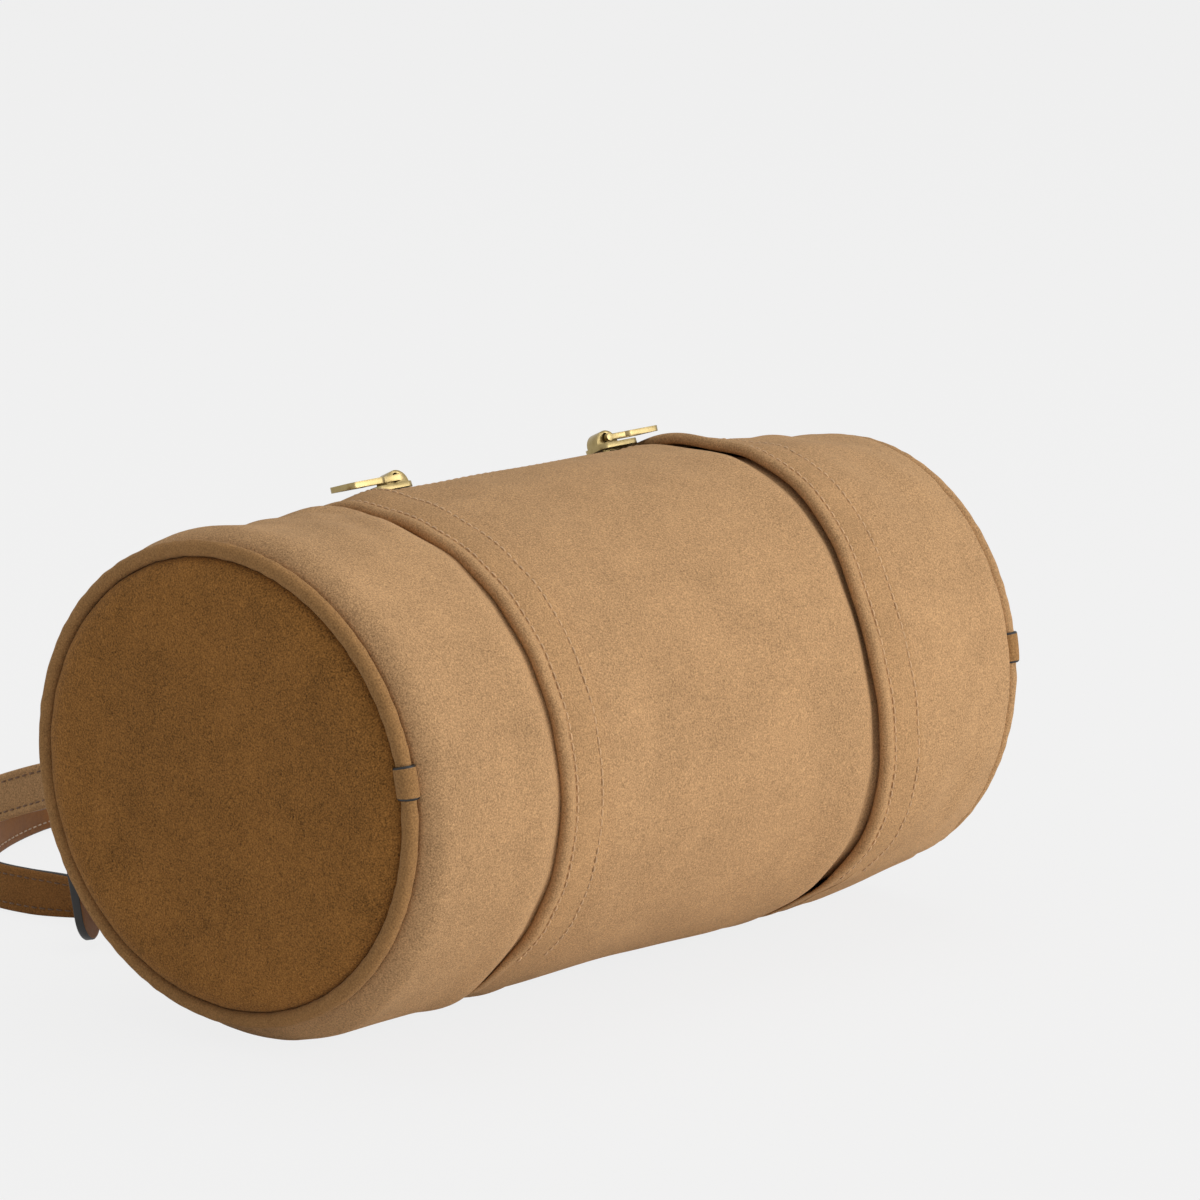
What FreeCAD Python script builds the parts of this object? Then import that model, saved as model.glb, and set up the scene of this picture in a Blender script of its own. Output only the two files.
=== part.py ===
import FreeCAD, Part
import math
import os
import re
from FreeCAD import Placement, Rotation, Vector

# Barrel bag of suede, lying on its side with its two handles laid out behind it.
# X runs along the barrel, -Y is the side seen first, Z is up from the floor at z = 0.
# "near" is the end towards -X and "far" the end towards +X.

SIZES = {
    # barrel
    "barrel_length": 239.0,
    "half_width": 66.0,
    "half_height": 67.2,
    "panel_thickness": 1.6,
    "shoulder_length": 20.0,
    "seam_step": 1.6,
    "seam_gap": 0.25,
    "fit_gap": 0.1,
    "overrun": 5.0,
    # round ends
    "piping_inset": 5.0,
    "piping_radius": 2.15,
    "piping_wrap_length": 8.5,
    "piping_wrap_thickness": 0.8,
    "piping_wrap_angle": 83.0,
    "end_thickness": 2.0,
    "end_crown": 3.5,
    "board_thickness": 1.5,
    # bands and the flats that they rest on
    "band_inset": 59.5,
    "band_width": 16.6,
    "band_thickness": 1.8,
    "rest_flat_depth": 0.9,
    # lining
    "lining_thickness": 0.8,
    "lining_gap": 0.5,
    # zip
    "zip_angle": 25.0,
    "zip_margin": 0.8,
    "slot_width": 11.0,
    "tape_width": 7.7,
    "tape_thickness": 0.7,
    "tape_rise": 1.7,
    "tape_sink": 2.35,
    "tooth_pitch": 2.4,
    "tooth_length": 1.2,
    "tooth_height": 2.8,
    "tooth_top": 0.9,
    "teeth_gap": 1.0,
    "tooth_reach": 1.3,
    "tooth_cord": 0.5,
    "stop_length": 1.4,
    "stop_gap": 0.3,
    # sliders and pullers
    "slider_length": 14.0,
    "slider_width": 9.0,
    "slider_foot_width": 6.8,
    "slider_plate": 1.4,
    "slider_corner": 2.4,
    "slider_post": 0.6,
    "running_gap": 0.3,
    "lug_radius": 3.9,
    "lug_width": 4.4,
    "lug_offset": 3.0,
    "pivot_height": 4.7,
    "pin_radius": 0.85,
    "puller_reach": 18.5,
    "puller_width": 10.0,
    "puller_thickness": 1.6,
    "puller_arm": 1.5,
    "puller_rim": 1.1,
    "puller_recess": 0.45,
    "puller_corner": 2.2,
    "puller_roll_angle": 8.0,
    # rings, chapes and root tabs of the handles
    "ring_wire": 1.25,
    "ring_height": 10.0,
    "ring_corner": 2.4,
    "chape_width": 12.6,
    "chape_length": 22.0,
    "chape_thickness": 1.6,
    "tunnel_wall": 1.35,
    "tunnel_height": 2.4,
    "root_length": 13.0,
    "root_leather": 1.2,
    # handles
    "strap_width": 12.6,
    "strap_thickness": 2.6,
    "leg_length": 60.0,
    "leg_bend": 30.0,
    "handle_splay_angle": 10.0,
    "twist_start": 26.0,
    "upper_handle_angle": 100.5,
    "lower_handle_angle": 135.9,
    # hang tag
    "tag_place": 28.0,
    "tag_width": 13.0,
    "tag_length": 27.0,
    "tag_thickness": 2.6,
    "tag_hole_radius": 3.5,
    "tag_hole_edge": 5.6,
    "tag_hang": 0.5,
    "tag_turn_angle": 31.0,
    "tag_lean_angle": 13.0,
    "lace_radius": 0.7,
    "lace_slack": 0.7,
    "lace_turn_angle": 30.0,
    "lace_offset": 8.0,
}

DERIVED = {
    "half_length": "barrel_length / 2",
    "axis_height": "half_height + band_thickness - rest_flat_depth",
    "piping_ring_radius": "min(half_width; half_height) - piping_inset",
    "seam_radius": "piping_ring_radius + seam_step",
    "seam_start": "piping_radius + seam_gap",
    "end_radius": "piping_ring_radius - piping_radius - seam_gap",
    "band_middle": "half_length - band_inset",
    "slot_length": "2 * (band_middle - band_width / 2 - zip_margin)",
    "teeth_length": "slot_length - 2 * (stop_length + stop_gap)",
    "tooth_inner": "teeth_gap / 2",
    "tape_inner": "teeth_gap / 2 + tooth_reach",
    "tooth_bottom": "tooth_top - tooth_height",
    "slider_top": "tooth_top + running_gap + slider_plate",
    "slider_middle": "teeth_length / 2 - slider_length / 2 - running_gap",
    "lug_middle": "slider_middle - lug_offset",
    "lug_height": "pivot_height + pin_radius + running_gap - lug_radius + tunnel_wall / 2",
    "strap_half": "strap_thickness / 2",
    "root_half": "ring_wire + fit_gap + root_leather",
    "ring_half": "chape_width / 2 + running_gap + ring_corner",
    "tunnel_bore": "ring_wire + running_gap",
    "tunnel_radius": "ring_wire + running_gap + tunnel_wall",
    "strap_start": "ring_height + ring_wire + running_gap",
    "root_end": "ring_height + root_length",
    "leg_end": "root_end + leg_bend * handle_splay_angle * pi / 180 + leg_length",
    "leg_spread": "band_middle + leg_bend * (1 - cos(handle_splay_angle)) + leg_length * sin(handle_splay_angle)",
    "bight_radius": "leg_spread / cos(handle_splay_angle)",
    "bight_rise": "(leg_bend + bight_radius) * sin(handle_splay_angle)",
    "bight_middle": "root_end + bight_rise + leg_length * cos(handle_splay_angle)",
    "handle_reach": "bight_middle + bight_radius",
    "lace_across": "strap_width / 2 / cos(lace_turn_angle) + lace_offset",
    "lace_deep": "strap_half + lace_offset",
    "lace_ring": "sqrt(lace_across ^ 2 + lace_deep ^ 2) + lace_slack + lace_radius",
}

SIDES = (("near", -1), ("far", 1))
HANDLES = (("upper", 1), ("lower", -1))

# Shares of the shoulder's length, and of the swell from the seam to the full barrel
SHOULDER_SHARES = ((0, 0), (0.08, 0.33), (0.2, 0.6), (0.4, 0.84), (0.7, 0.97), (1, 1))
LEG_STEPS = 11
BIGHT_STEPS = 14

# Turns the local X, Y and Z axes to the barrel's Y, Z and X
ALONG = Rotation(Vector(1, 1, 1), 120)
X_AXIS = Vector(1, 0, 0)

doc = FreeCAD.newDocument("barrel_bag")
sheet = doc.addObject("Spreadsheet::Sheet", "Sizes")
subparts = []


def fill_sheet():
    cells = [(name, str(value)) for name, value in SIZES.items()]
    cells += [(name, "=" + formula) for name, formula in DERIVED.items()]
    for row, (name, text) in enumerate(cells, start=1):
        sheet.set(f"A{row}", name)
        sheet.set(f"B{row}", text)
        sheet.setAlias(f"B{row}", name)
    doc.recompute()


def size(name):
    return float(sheet.get(name))


def bind(item, **expressions):
    known = set(SIZES) | set(DERIVED)
    for prop, text in expressions.items():
        linked = re.sub(r"[a-z_]+", lambda m: "Sizes." + m[0] if m[0] in known else m[0], text)
        item.setExpression(prop.replace("__", "."), linked)
    return item


def subpart(item, label, place=None):
    item.Label = label
    if place is not None:
        item.Placement = place.multiply(item.Placement)
    subparts.append(item)
    return item


# Plain solids in a local frame


def block(name, length, width, height, x="0", y="0", z="0"):
    # Box centred on x and y, standing on z
    item = doc.addObject("Part::Box", name)
    bind(item, Length=length, Width=width, Height=height)
    return bind(item, Placement__Base__x=f"{x} - ({length}) / 2",
                Placement__Base__y=f"{y} - ({width}) / 2", Placement__Base__z=z)


def rod(name, radius, length, axis, x="0", y="0", z="0"):
    # Cylinder centred on x, y and z along one local axis
    item = doc.addObject("Part::Cylinder", name)
    item.Placement = Placement(Vector(), Rotation(Vector(0, 0, 1), axis))
    bind(item, Radius=radius, Height=length)
    middle = {"x": x, "y": y, "z": z}
    for key, share in zip("xyz", (axis.x, axis.y, axis.z)):
        bind(item, **{f"Placement__Base__{key}": f"{middle[key]} - {share:g} * ({length}) / 2"})
    return item


def cut(name, base, tools):
    item = doc.addObject("Part::Cut", name)
    item.Base = base
    item.Tool = tools[0] if len(tools) == 1 else fuse(name + "_tools", tools)
    return item


def fuse(name, shapes):
    item = doc.addObject("Part::MultiFuse", name)
    item.Shapes = shapes
    return item


def common(name, shapes):
    item = doc.addObject("Part::MultiCommon", name)
    item.Shapes = shapes
    return item


def rounded(name, base, radius, chosen):
    # Fillet on the edges of base that the function chosen picks
    doc.recompute()
    item = doc.addObject("Part::Fillet", name)
    item.Base = base
    picked = [i for i, edge in enumerate(base.Shape.Edges, start=1) if chosen(edge)]
    item.Edges = [(i, radius, radius) for i in picked]
    return item


# Oval solids round the barrel's axis


def oval(name, along, half_width, half_height):
    # An ellipse's first radius is its longer one
    item = doc.addObject("Part::Ellipse", name)
    if size("half_height") > size("half_width"):
        item.Placement = Placement(Vector(), ALONG.multiply(Rotation(Vector(0, 0, 1), 90)))
        bind(item, MajorRadius=half_height, MinorRadius=half_width)
    else:
        item.Placement = Placement(Vector(), ALONG)
        bind(item, MajorRadius=half_width, MinorRadius=half_height)
    return bind(item, Placement__Base__x=along, Placement__Base__z="axis_height")


def oval_stack(name, stations):
    # Solid through many ovals, one straight-sided slice between each two
    ovals = [oval(f"{name}_oval_{i}", *station) for i, station in enumerate(stations)]
    slices = []
    for i, pair in enumerate(zip(ovals, ovals[1:])):
        item = doc.addObject("Part::Loft", f"{name}_slice_{i}")
        item.Sections = list(pair)
        item.Solid = True
        item.Ruled = True
        slices.append(item)
    return fuse(name, slices)


def oval_prism(name, start, end, swell):
    # Straight barrel section, grown by swell all round
    item = doc.addObject("Part::Extrusion", name)
    item.Base = oval(f"{name}_oval", start, f"half_width + {swell}", f"half_height + {swell}")
    item.DirMode = "Custom"
    item.Dir = X_AXIS
    item.Solid = True
    return bind(item, LengthFwd=f"({end}) - ({start})")


def surface_place(angle, swell):
    # Frame on the barrel: x along it, z outwards, at an angle from the top towards +Y
    half_width = size("half_width") + swell
    half_height = size("half_height") + swell
    turn = math.radians(angle)
    tilt = math.atan2(half_height * math.sin(turn), half_width * math.cos(turn))
    base = Vector(0, half_width * math.sin(turn), size("axis_height") + half_height * math.cos(turn))
    return Placement(base, Rotation(X_AXIS, -math.degrees(tilt)))


def put_on_surface(item, place):
    # Carries a bound local placement over to a frame worked out from the sheet
    doc.recompute()
    local = item.Placement
    for key in "xyz":
        item.setExpression(f"Placement.Base.{key}", None)
    item.Placement = place.multiply(local)


def zip_place():
    return surface_place(size("zip_angle"), 0)


# Barrel panels, ends and bands


def shoulder_stations(side, inset):
    stations = []
    for run, swell in SHOULDER_SHARES:
        along = f"{side} * (half_length - seam_start - {run} * (shoulder_length - seam_start))"
        width = f"seam_radius + {swell} * (half_width - seam_radius) - {inset}"
        height = f"seam_radius + {swell} * (half_height - seam_radius) - {inset}"
        stations.append((along, width, height))
    inner_end = f"{side} * (band_middle + fit_gap)"
    stations.append((inner_end, f"half_width - {inset}", f"half_height - {inset}"))
    return stations


def run_past_ends(stations, side):
    # The same ovals, carried straight on past both ends for a clean cut
    first, last = stations[0], stations[-1]
    before = (f"{first[0]} + {side} * overrun", *first[1:])
    after = (f"{last[0]} - {side} * overrun", *last[1:])
    return [before] + stations + [after]


def make_panels():
    for name, side in SIDES:
        skin = oval_stack(f"{name}_panel_skin", shoulder_stations(side, "0"))
        inside = run_past_ends(shoulder_stations(side, "panel_thickness"), side)
        hollow = oval_stack(f"{name}_panel_hollow", inside)
        subpart(cut(f"{name}_panel", skin, [hollow]), f"{name}_panel")
    skin = oval_prism("centre_skin", "-band_middle + fit_gap", "band_middle - fit_gap", "0")
    hollow = oval_prism("centre_hollow", "-band_middle - overrun", "band_middle + overrun", "-panel_thickness")
    slot = block("centre_slot", "slot_length", "slot_width", "2 * overrun", z="-overrun")
    put_on_surface(slot, zip_place())
    subpart(cut("centre_panel", skin, [hollow, slot]), "centre_panel")


def make_ends():
    for name, side in SIDES:
        back = f"{side} * half_length - {side} * (end_thickness - end_crown) / 2"
        disc = rod(f"{name}_end_disc", "end_radius", "end_thickness + end_crown", X_AXIS, back, "0", "axis_height")
        dome = doc.addObject("Part::Sphere", f"{name}_end_dome")
        bind(dome, Radius="(end_radius ^ 2 + end_crown ^ 2) / (2 * end_crown)")
        bind(dome, Placement__Base__z="axis_height")
        bind(dome, Placement__Base__x=f"{side} * (half_length + end_crown - (end_radius ^ 2 + end_crown ^ 2)"
                                      " / (2 * end_crown))")
        subpart(common(f"{name}_end_panel", [disc, dome]), f"{name}_end_panel")
        board_middle = f"{side} * (half_length - end_thickness - fit_gap - board_thickness / 2)"
        board = rod(f"{name}_end_board", "end_radius", "board_thickness", X_AXIS, board_middle, "0", "axis_height")
        subpart(board, f"{name}_end_board")


def piping_torus(name, side, tube, sweep=None):
    item = doc.addObject("Part::Torus", name)
    bind(item, Radius1="piping_ring_radius", Radius2=tube)
    item.Placement = Placement(Vector(), ALONG)
    if sweep:
        bind(item, Angle3=sweep)
        half_turn = math.degrees(size("piping_wrap_length") / size("piping_ring_radius")) / 2
        start = 90 + size("piping_wrap_angle") - half_turn
        item.Placement = Placement(Vector(), Rotation(X_AXIS, start).multiply(ALONG))
    return bind(item, Placement__Base__x=f"{side} * half_length", Placement__Base__z="axis_height")


def make_piping():
    for name, side in SIDES:
        subpart(piping_torus(f"{name}_piping", side, "piping_radius"), f"{name}_piping")
        sweep = "piping_wrap_length / piping_ring_radius * 180 / pi"
        sleeve = piping_torus(f"{name}_wrap_sleeve", side, "piping_radius + piping_wrap_thickness", sweep)
        cord = piping_torus(f"{name}_wrap_cord", side, "piping_radius + fit_gap")
        seam_side = f"{side} * (half_length - piping_radius - overrun / 2)"
        seam = rod(f"{name}_wrap_seam", "half_width + overrun", "overrun", X_AXIS, seam_side, "0", "axis_height")
        end = rod(f"{name}_wrap_end", "end_radius + fit_gap", "4 * overrun", X_AXIS,
                  f"{side} * half_length", "0", "axis_height")
        subpart(cut(f"{name}_piping_wrap", sleeve, [cord, seam, end]), f"{name}_piping_wrap")


def make_bands():
    for name, side in SIDES:
        start = f"{side} * band_middle - band_width / 2"
        end = f"{side} * band_middle + band_width / 2"
        strip = oval_prism(f"{name}_band_strip", start, end, "band_thickness")
        hollow = oval_prism(f"{name}_band_hollow", start + " - overrun", end + " + overrun", "fit_gap")
        floor = block(f"{name}_band_floor", "2 * band_width", "2 * half_width", "overrun",
                      x=f"{side} * band_middle", z="-overrun")
        subpart(cut(f"{name}_band", strip, [hollow, floor]), f"{name}_band")


def make_lining():
    reach = "(half_length - shoulder_length)"
    swell = "(-panel_thickness - lining_gap)"
    bag = oval_prism("lining_bag", f"-{reach}", reach, swell)
    room = oval_prism("lining_room", f"-{reach} + lining_thickness", f"{reach} - lining_thickness",
                      "(-panel_thickness - lining_gap - lining_thickness)")
    slot = block("lining_slot", "slot_length + fit_gap", "2 * (tape_inner + tape_width + running_gap)",
                 "2 * overrun", z="-2 * overrun")
    put_on_surface(slot, zip_place())
    subpart(cut("lining", bag, [room, slot]), "lining")


# Zip, sliders and pullers


def prism_along(points, length):
    # Solid with a (y, z) outline, centred along x
    corners = [Vector(-length / 2, y, z) for y, z in points]
    face = Part.Face(Part.makePolygon(corners + corners[:1]))
    return face.extrude(Vector(length, 0, 0))


def shape_part(name, shape, place):
    item = doc.addObject("Part::Feature", name)
    item.Shape = shape
    return subpart(item, name, place)


def make_tapes():
    inner = size("tape_inner")
    bend = size("slot_width") / 2 - size("fit_gap")
    outer = inner + size("tape_width")
    level = size("tooth_top") - size("tooth_height") / 2
    thick = size("tape_thickness")
    sink = size("tape_sink")
    under = size("tape_rise") + thick / 2 - level
    for name, hand in (("front", -1), ("back", 1)):
        top = [(inner, level + thick / 2), (bend, -under), (outer, -sink)]
        low = [(y, z - thick) for y, z in reversed(top)]
        points = [(hand * y, z) for y, z in top + low]
        shape_part(f"zip_tape_{name}", prism_along(points, size("slot_length") - size("fit_gap")), zip_place())


def make_teeth():
    length = size("teeth_length")
    cord = size("tooth_cord")
    reach = size("tooth_reach")
    tall = size("tooth_height")
    pitch = size("tooth_pitch")
    count = int(length / pitch)
    for name, hand in (("front", -1), ("back", 1)):
        root = hand * size("tape_inner")
        low = size("tooth_bottom")
        outline = [(root, low), (root - hand * cord, low), (root - hand * cord, low + tall), (root, low + tall)]
        row = prism_along(outline, length)
        tip = root - hand * reach
        outline = [(root, low), (tip, low), (tip, low + tall), (root, low + tall)]
        tooth = prism_along(outline, size("tooth_length"))
        start = -pitch * (count - 1) / 2 + hand * pitch / 4
        teeth = [tooth.translated(Vector(start + pitch * i, 0, 0)) for i in range(count)]
        shape_part(f"zip_teeth_{name}", row.multiFuse(teeth).removeSplitter(), zip_place())
    for name, side in SIDES:
        middle = f"{side} * (teeth_length / 2 + stop_length / 2)"
        stop = block(f"zip_stop_{name}_bar", "stop_length", "2 * tape_inner", "tooth_height", x=middle, z="tooth_bottom")
        item = common(f"zip_stop_{name}_body", [stop])
        subpart(item, f"zip_stop_{name}", zip_place())


def make_sliders():
    for name, side in SIDES:
        middle = f"{side} * slider_middle"
        top = block(f"{name}_slider_top", "slider_length", "slider_width", "slider_plate",
                    x=middle, z="slider_top - slider_plate")
        plate = rounded(f"{name}_slider_plate", top, size("slider_corner"),
                        lambda edge: edge.BoundBox.XLength + edge.BoundBox.YLength < size("fit_gap"))
        foot = block(f"{name}_slider_foot", "slider_length", "slider_foot_width", "slider_plate",
                     x=middle, z="tooth_bottom - running_gap - slider_plate")
        post = block(f"{name}_slider_post", "slider_length / 2", "slider_post",
                     "slider_top - tooth_bottom + running_gap", x=middle, z="tooth_bottom - running_gap")
        lug_x = f"{side} * lug_middle"
        disc = rod(f"{name}_lug_disc", "lug_radius", "lug_width", Vector(0, 1, 0), lug_x, "0", "lug_height")
        above = block(f"{name}_lug_above", "4 * lug_radius", "2 * lug_width", "4 * lug_radius",
                      x=lug_x, z="slider_top - slider_plate / 2")
        lug = common(f"{name}_lug", [disc, above])
        hole = rod(f"{name}_lug_hole", "pin_radius + running_gap", "2 * lug_width", Vector(0, 1, 0),
                   lug_x, "0", "pivot_height")
        body = cut(f"{name}_slider", fuse(f"{name}_slider_solid", [plate, foot, post, lug]), [hole])
        subpart(body, f"{name}_slider", zip_place())


def puller_place(side):
    base = zip_place().multVec(Vector(side * size("lug_middle"), 0, size("pivot_height")))
    lean = zip_place().Rotation.multiply(Rotation(X_AXIS, size("puller_roll_angle")))
    return Placement(base, lean)


def make_pullers():
    # Local frame at the pin: x away from the pin along the puller's side, y along the pin
    for name, side in SIDES:
        start = "(lug_radius + lug_offset / 2)"
        middle = f"{side} * ({start} + puller_reach) / 2"
        slab = block(f"{name}_puller_slab", f"puller_reach - {start}", "puller_width", "puller_thickness",
                     x=middle, z="-puller_thickness / 2")
        plate = rounded(f"{name}_puller_plate", slab, size("puller_corner"),
                        lambda edge: edge.BoundBox.XLength + edge.BoundBox.YLength < size("fit_gap"))
        recesses = []
        for face, level in (("upper", "puller_thickness / 2 - puller_recess"),
                            ("under", "-puller_thickness / 2 + puller_recess - overrun")):
            recesses.append(block(f"{name}_recess_{face}", f"puller_reach - {start} - 2 * puller_rim",
                                  "puller_width - 2 * puller_rim", "overrun", x=middle, z=level))
        face_plate = cut(f"{name}_puller_face", plate, recesses)
        arms = []
        for label, hand in (("left", -1), ("right", 1)):
            place = f"{hand} * (lug_width + 2 * running_gap + puller_arm) / 2"
            arms.append(block(f"{name}_arm_{label}", f"{start} + puller_rim", "puller_arm", "puller_thickness",
                              x=f"{side} * ({start} + puller_rim) / 2", y=place, z="-puller_thickness / 2"))
            arms.append(rod(f"{name}_eye_{label}", "puller_thickness / 2 + running_gap", "puller_arm",
                            Vector(0, 1, 0), "0", place, "0"))
        pin = rod(f"{name}_puller_pin", "pin_radius", "lug_width + 2 * running_gap + puller_arm", Vector(0, 1, 0))
        subpart(fuse(f"{name}_puller", [face_plate, pin] + arms), f"{name}_puller", puller_place(side))


# Handles


def hinge_place(handle):
    # Frame at the middle of a handle's hinge axis: y out along the handle, which rests on the floor
    band = surface_place(size(f"{handle}_handle_angle"), size("band_thickness"))
    base = band.multVec(Vector(0, 0, size("tunnel_height")))
    drop = base.z - size("strap_width") / 2 - size("running_gap")
    slope = math.degrees(math.asin(drop / size("handle_reach")))
    return Placement(base, Rotation(X_AXIS, -slope))


def make_chapes():
    for handle, _ in HANDLES:
        place = surface_place(size(f"{handle}_handle_angle"), size("band_thickness"))
        for name, side in SIDES:
            node = f"{handle}_{name}_chape"
            middle = f"{side} * band_middle"
            edge = "chape_width / 2"
            skin = oval_prism(f"{node}_skin", f"{middle} - {edge}", f"{middle} + {edge}",
                              "(band_thickness + fit_gap + chape_thickness)")
            window = block(f"{node}_window", "2 * chape_width", "chape_length", "4 * overrun",
                           x=middle, z="-2 * overrun")
            tunnel = rod(f"{node}_tunnel", "tunnel_radius", "chape_width", X_AXIS, middle, "0", "tunnel_height")
            bore = rod(f"{node}_bore", "tunnel_bore", "chape_width + overrun", X_AXIS, middle, "0", "tunnel_height")
            for item in (window, tunnel, bore):
                put_on_surface(item, place)
            core = oval_prism(f"{node}_core", f"{middle} - chape_width", f"{middle} + chape_width",
                              "(band_thickness + fit_gap)")
            saddle = fuse(f"{node}_saddle", [common(f"{node}_leaf", [skin, window]), tunnel])
            subpart(cut(f"{node}_cut", saddle, [core, bore]), node)


def ring_solids(node, middle):
    # Rounded rectangle of round wire in the local xy plane, its first bar on the x axis
    bars = []
    for label, level in (("inner", "0"), ("outer", "ring_height")):
        bars.append(rod(f"{node}_{label}", "ring_wire", "2 * (ring_half - ring_corner)", X_AXIS, middle, level, "0"))
    for label, hand in (("left", -1), ("right", 1)):
        bars.append(rod(f"{node}_{label}", "ring_wire", "ring_height - 2 * ring_corner", Vector(0, 1, 0),
                        f"{middle} + {hand} * ring_half", "ring_height / 2", "0"))
    corners = ((1, 1, 0), (-1, 1, 90), (-1, -1, 180), (1, -1, 270))
    for along, out, turn in corners:
        bend = doc.addObject("Part::Torus", f"{node}_bend_{turn}")
        bend.Placement = Placement(Vector(), Rotation(Vector(0, 0, 1), turn))
        bend.Angle3 = 90
        bind(bend, Radius1="ring_corner", Radius2="ring_wire")
        bind(bend, Placement__Base__x=f"{middle} + {along} * (ring_half - ring_corner)",
             Placement__Base__y=f"ring_height / 2 + {out} * (ring_height / 2 - ring_corner)")
        bars.append(bend)
    return bars


def make_rings_and_roots():
    for handle, _ in HANDLES:
        place = hinge_place(handle)
        for name, side in SIDES:
            middle = f"{side} * band_middle"
            ring = f"{handle}_{name}_ring"
            subpart(fuse(f"{ring}_wire", ring_solids(ring, middle)), ring, place)
            root = f"{handle}_{name}_root_tab"
            leaf = block(f"{root}_leaf", "strap_width", "root_length", "2 * root_half", x=middle,
                         y="ring_height + root_length / 2", z="-root_half")
            fold = rod(f"{root}_fold", "root_half", "strap_width", X_AXIS, middle, "ring_height", "0")
            gap = block(f"{root}_gap", "2 * strap_width", "root_length + overrun", "2 * (strap_half + fit_gap)",
                        x=middle, y="ring_height + (root_length + overrun) / 2", z="-strap_half - fit_gap")
            eye = rod(f"{root}_eye", "ring_wire + fit_gap", "2 * strap_width", X_AXIS, middle, "ring_height", "0")
            subpart(cut(f"{root}_cut", fuse(f"{root}_fold_leaf", [leaf, fold]), [gap, eye]), root, place)


def leg_station(run):
    # Point, heading and outward side of a handle's near leg at a distance from its hinge
    bend = size("leg_bend")
    splay = math.radians(size("handle_splay_angle"))
    root_end = size("root_end")
    turn = min(max((run - root_end) / bend, 0), splay)
    rest = max(run - root_end - bend * splay, 0)
    heading = Vector(-math.sin(turn), math.cos(turn), 0)
    away = Vector(-math.cos(turn), -math.sin(turn), 0)
    x = -size("band_middle") - bend * (1 - math.cos(turn))
    y = min(run, root_end) + bend * math.sin(turn)
    return Vector(x, y, 0) + heading * rest, heading, away


def strap_stations():
    # Centre line of a handle in its own plane: point, direction, outward side and twist to standing on edge
    root_end = size("root_end")
    leg_end = size("leg_end")
    first = size("twist_start")
    runs = [size("strap_start"), root_end]
    runs += [root_end + (leg_end - root_end) * i / LEG_STEPS for i in range(1, LEG_STEPS + 1)]
    legs = []
    for run in runs:
        share = min(max((run - first) / (leg_end - first), 0), 1)
        legs.append((*leg_station(run), 90 * share * share * (3 - 2 * share)))
    stations = list(legs)
    splay = math.radians(size("handle_splay_angle"))
    for i in range(1, BIGHT_STEPS):
        turn = (math.pi + 2 * splay) * i / BIGHT_STEPS - splay
        away = Vector(-math.cos(turn), math.sin(turn), 0)
        heading = Vector(math.sin(turn), math.cos(turn), 0)
        stations.append((Vector(0, size("bight_middle"), 0) + away * size("bight_radius"), heading, away, 90.0))
    for point, heading, away, twist in reversed(legs):
        mirrored = Vector(-point.x, point.y, 0)
        stations.append((mirrored, Vector(heading.x, -heading.y, 0), Vector(-away.x, away.y, 0), twist))
    return stations


def strap_layer(suede_side, inner, outer):
    # Strip of the strap between two depths, measured towards its suede face
    half = size("strap_width") / 2
    wires = []
    for centre, heading, away, twist in strap_stations():
        turn = math.radians(twist)
        depth = Vector(0, 0, suede_side) * math.cos(turn) + away * math.sin(turn)
        across = heading.cross(depth)
        corners = [centre + across * half + depth * inner, centre - across * half + depth * inner,
                   centre - across * half + depth * outer, centre + across * half + depth * outer]
        wires.append(Part.makePolygon(corners + corners[:1]))
    return Part.makeLoft(wires, True, True)


def make_straps():
    half = size("strap_half")
    seam = size("fit_gap") / 2
    for handle, suede_side in HANDLES:
        place = hinge_place(handle)
        shape_part(f"{handle}_handle_strap", strap_layer(suede_side, seam, half), place)
        shape_part(f"{handle}_handle_lining", strap_layer(suede_side, -half, -seam), place)


def lace_place():
    # Frame at the middle of the lace's loop, which hangs outside the upper handle's near leg
    point, _, _ = leg_station(size("tag_place"))
    leg = Placement(point, Rotation(Vector(0, 0, 1), -size("lace_turn_angle")))
    middle = Placement(Vector(-size("lace_offset"), 0, -size("lace_offset")), Rotation())
    return hinge_place("upper").multiply(leg).multiply(middle)


def make_tag():
    place = lace_place()
    lace = doc.addObject("Part::Torus", "lace")
    bind(lace, Radius1="lace_ring", Radius2="lace_radius")
    subpart(lace, "tag_lace", place.multiply(Placement(Vector(), Rotation(X_AXIS, 90))))
    # Local frame of the tag at its hole: y up along the tag, z through it
    leaf = block("tag_leaf", "tag_width", "tag_length - tag_width / 2", "tag_thickness",
                 y="tag_hole_edge - (tag_length - tag_width / 2) / 2", z="-tag_thickness / 2")
    shoulders = rounded("tag_shoulders", leaf, size("tag_hole_edge") / 2,
                        lambda edge: edge.BoundBox.XLength + edge.BoundBox.YLength < size("fit_gap")
                        and edge.CenterOfMass.y > 0)
    tip = rod("tag_tip", "tag_width / 2", "tag_thickness", Vector(0, 0, 1),
              "0", "tag_hole_edge - tag_length + tag_width / 2", "0")
    hole = rod("tag_hole", "tag_hole_radius", "2 * tag_thickness", Vector(0, 0, 1))
    tag = cut("tag_cut", fuse("tag_blank", [shoulders, tip]), [hole])
    low = -size("lace_ring") * math.sqrt(0.5)
    stand = Rotation(Vector(0, 0, 1), size("tag_turn_angle")).multiply(Rotation(X_AXIS, 90))
    facing = Rotation(X_AXIS, -size("tag_lean_angle")).multiply(stand)
    hang = place.multVec(Vector(low, 0, low)) - facing.multVec(Vector(0, size("tag_hang"), 0))
    subpart(tag, "hang_tag", Placement(hang, facing))


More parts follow.
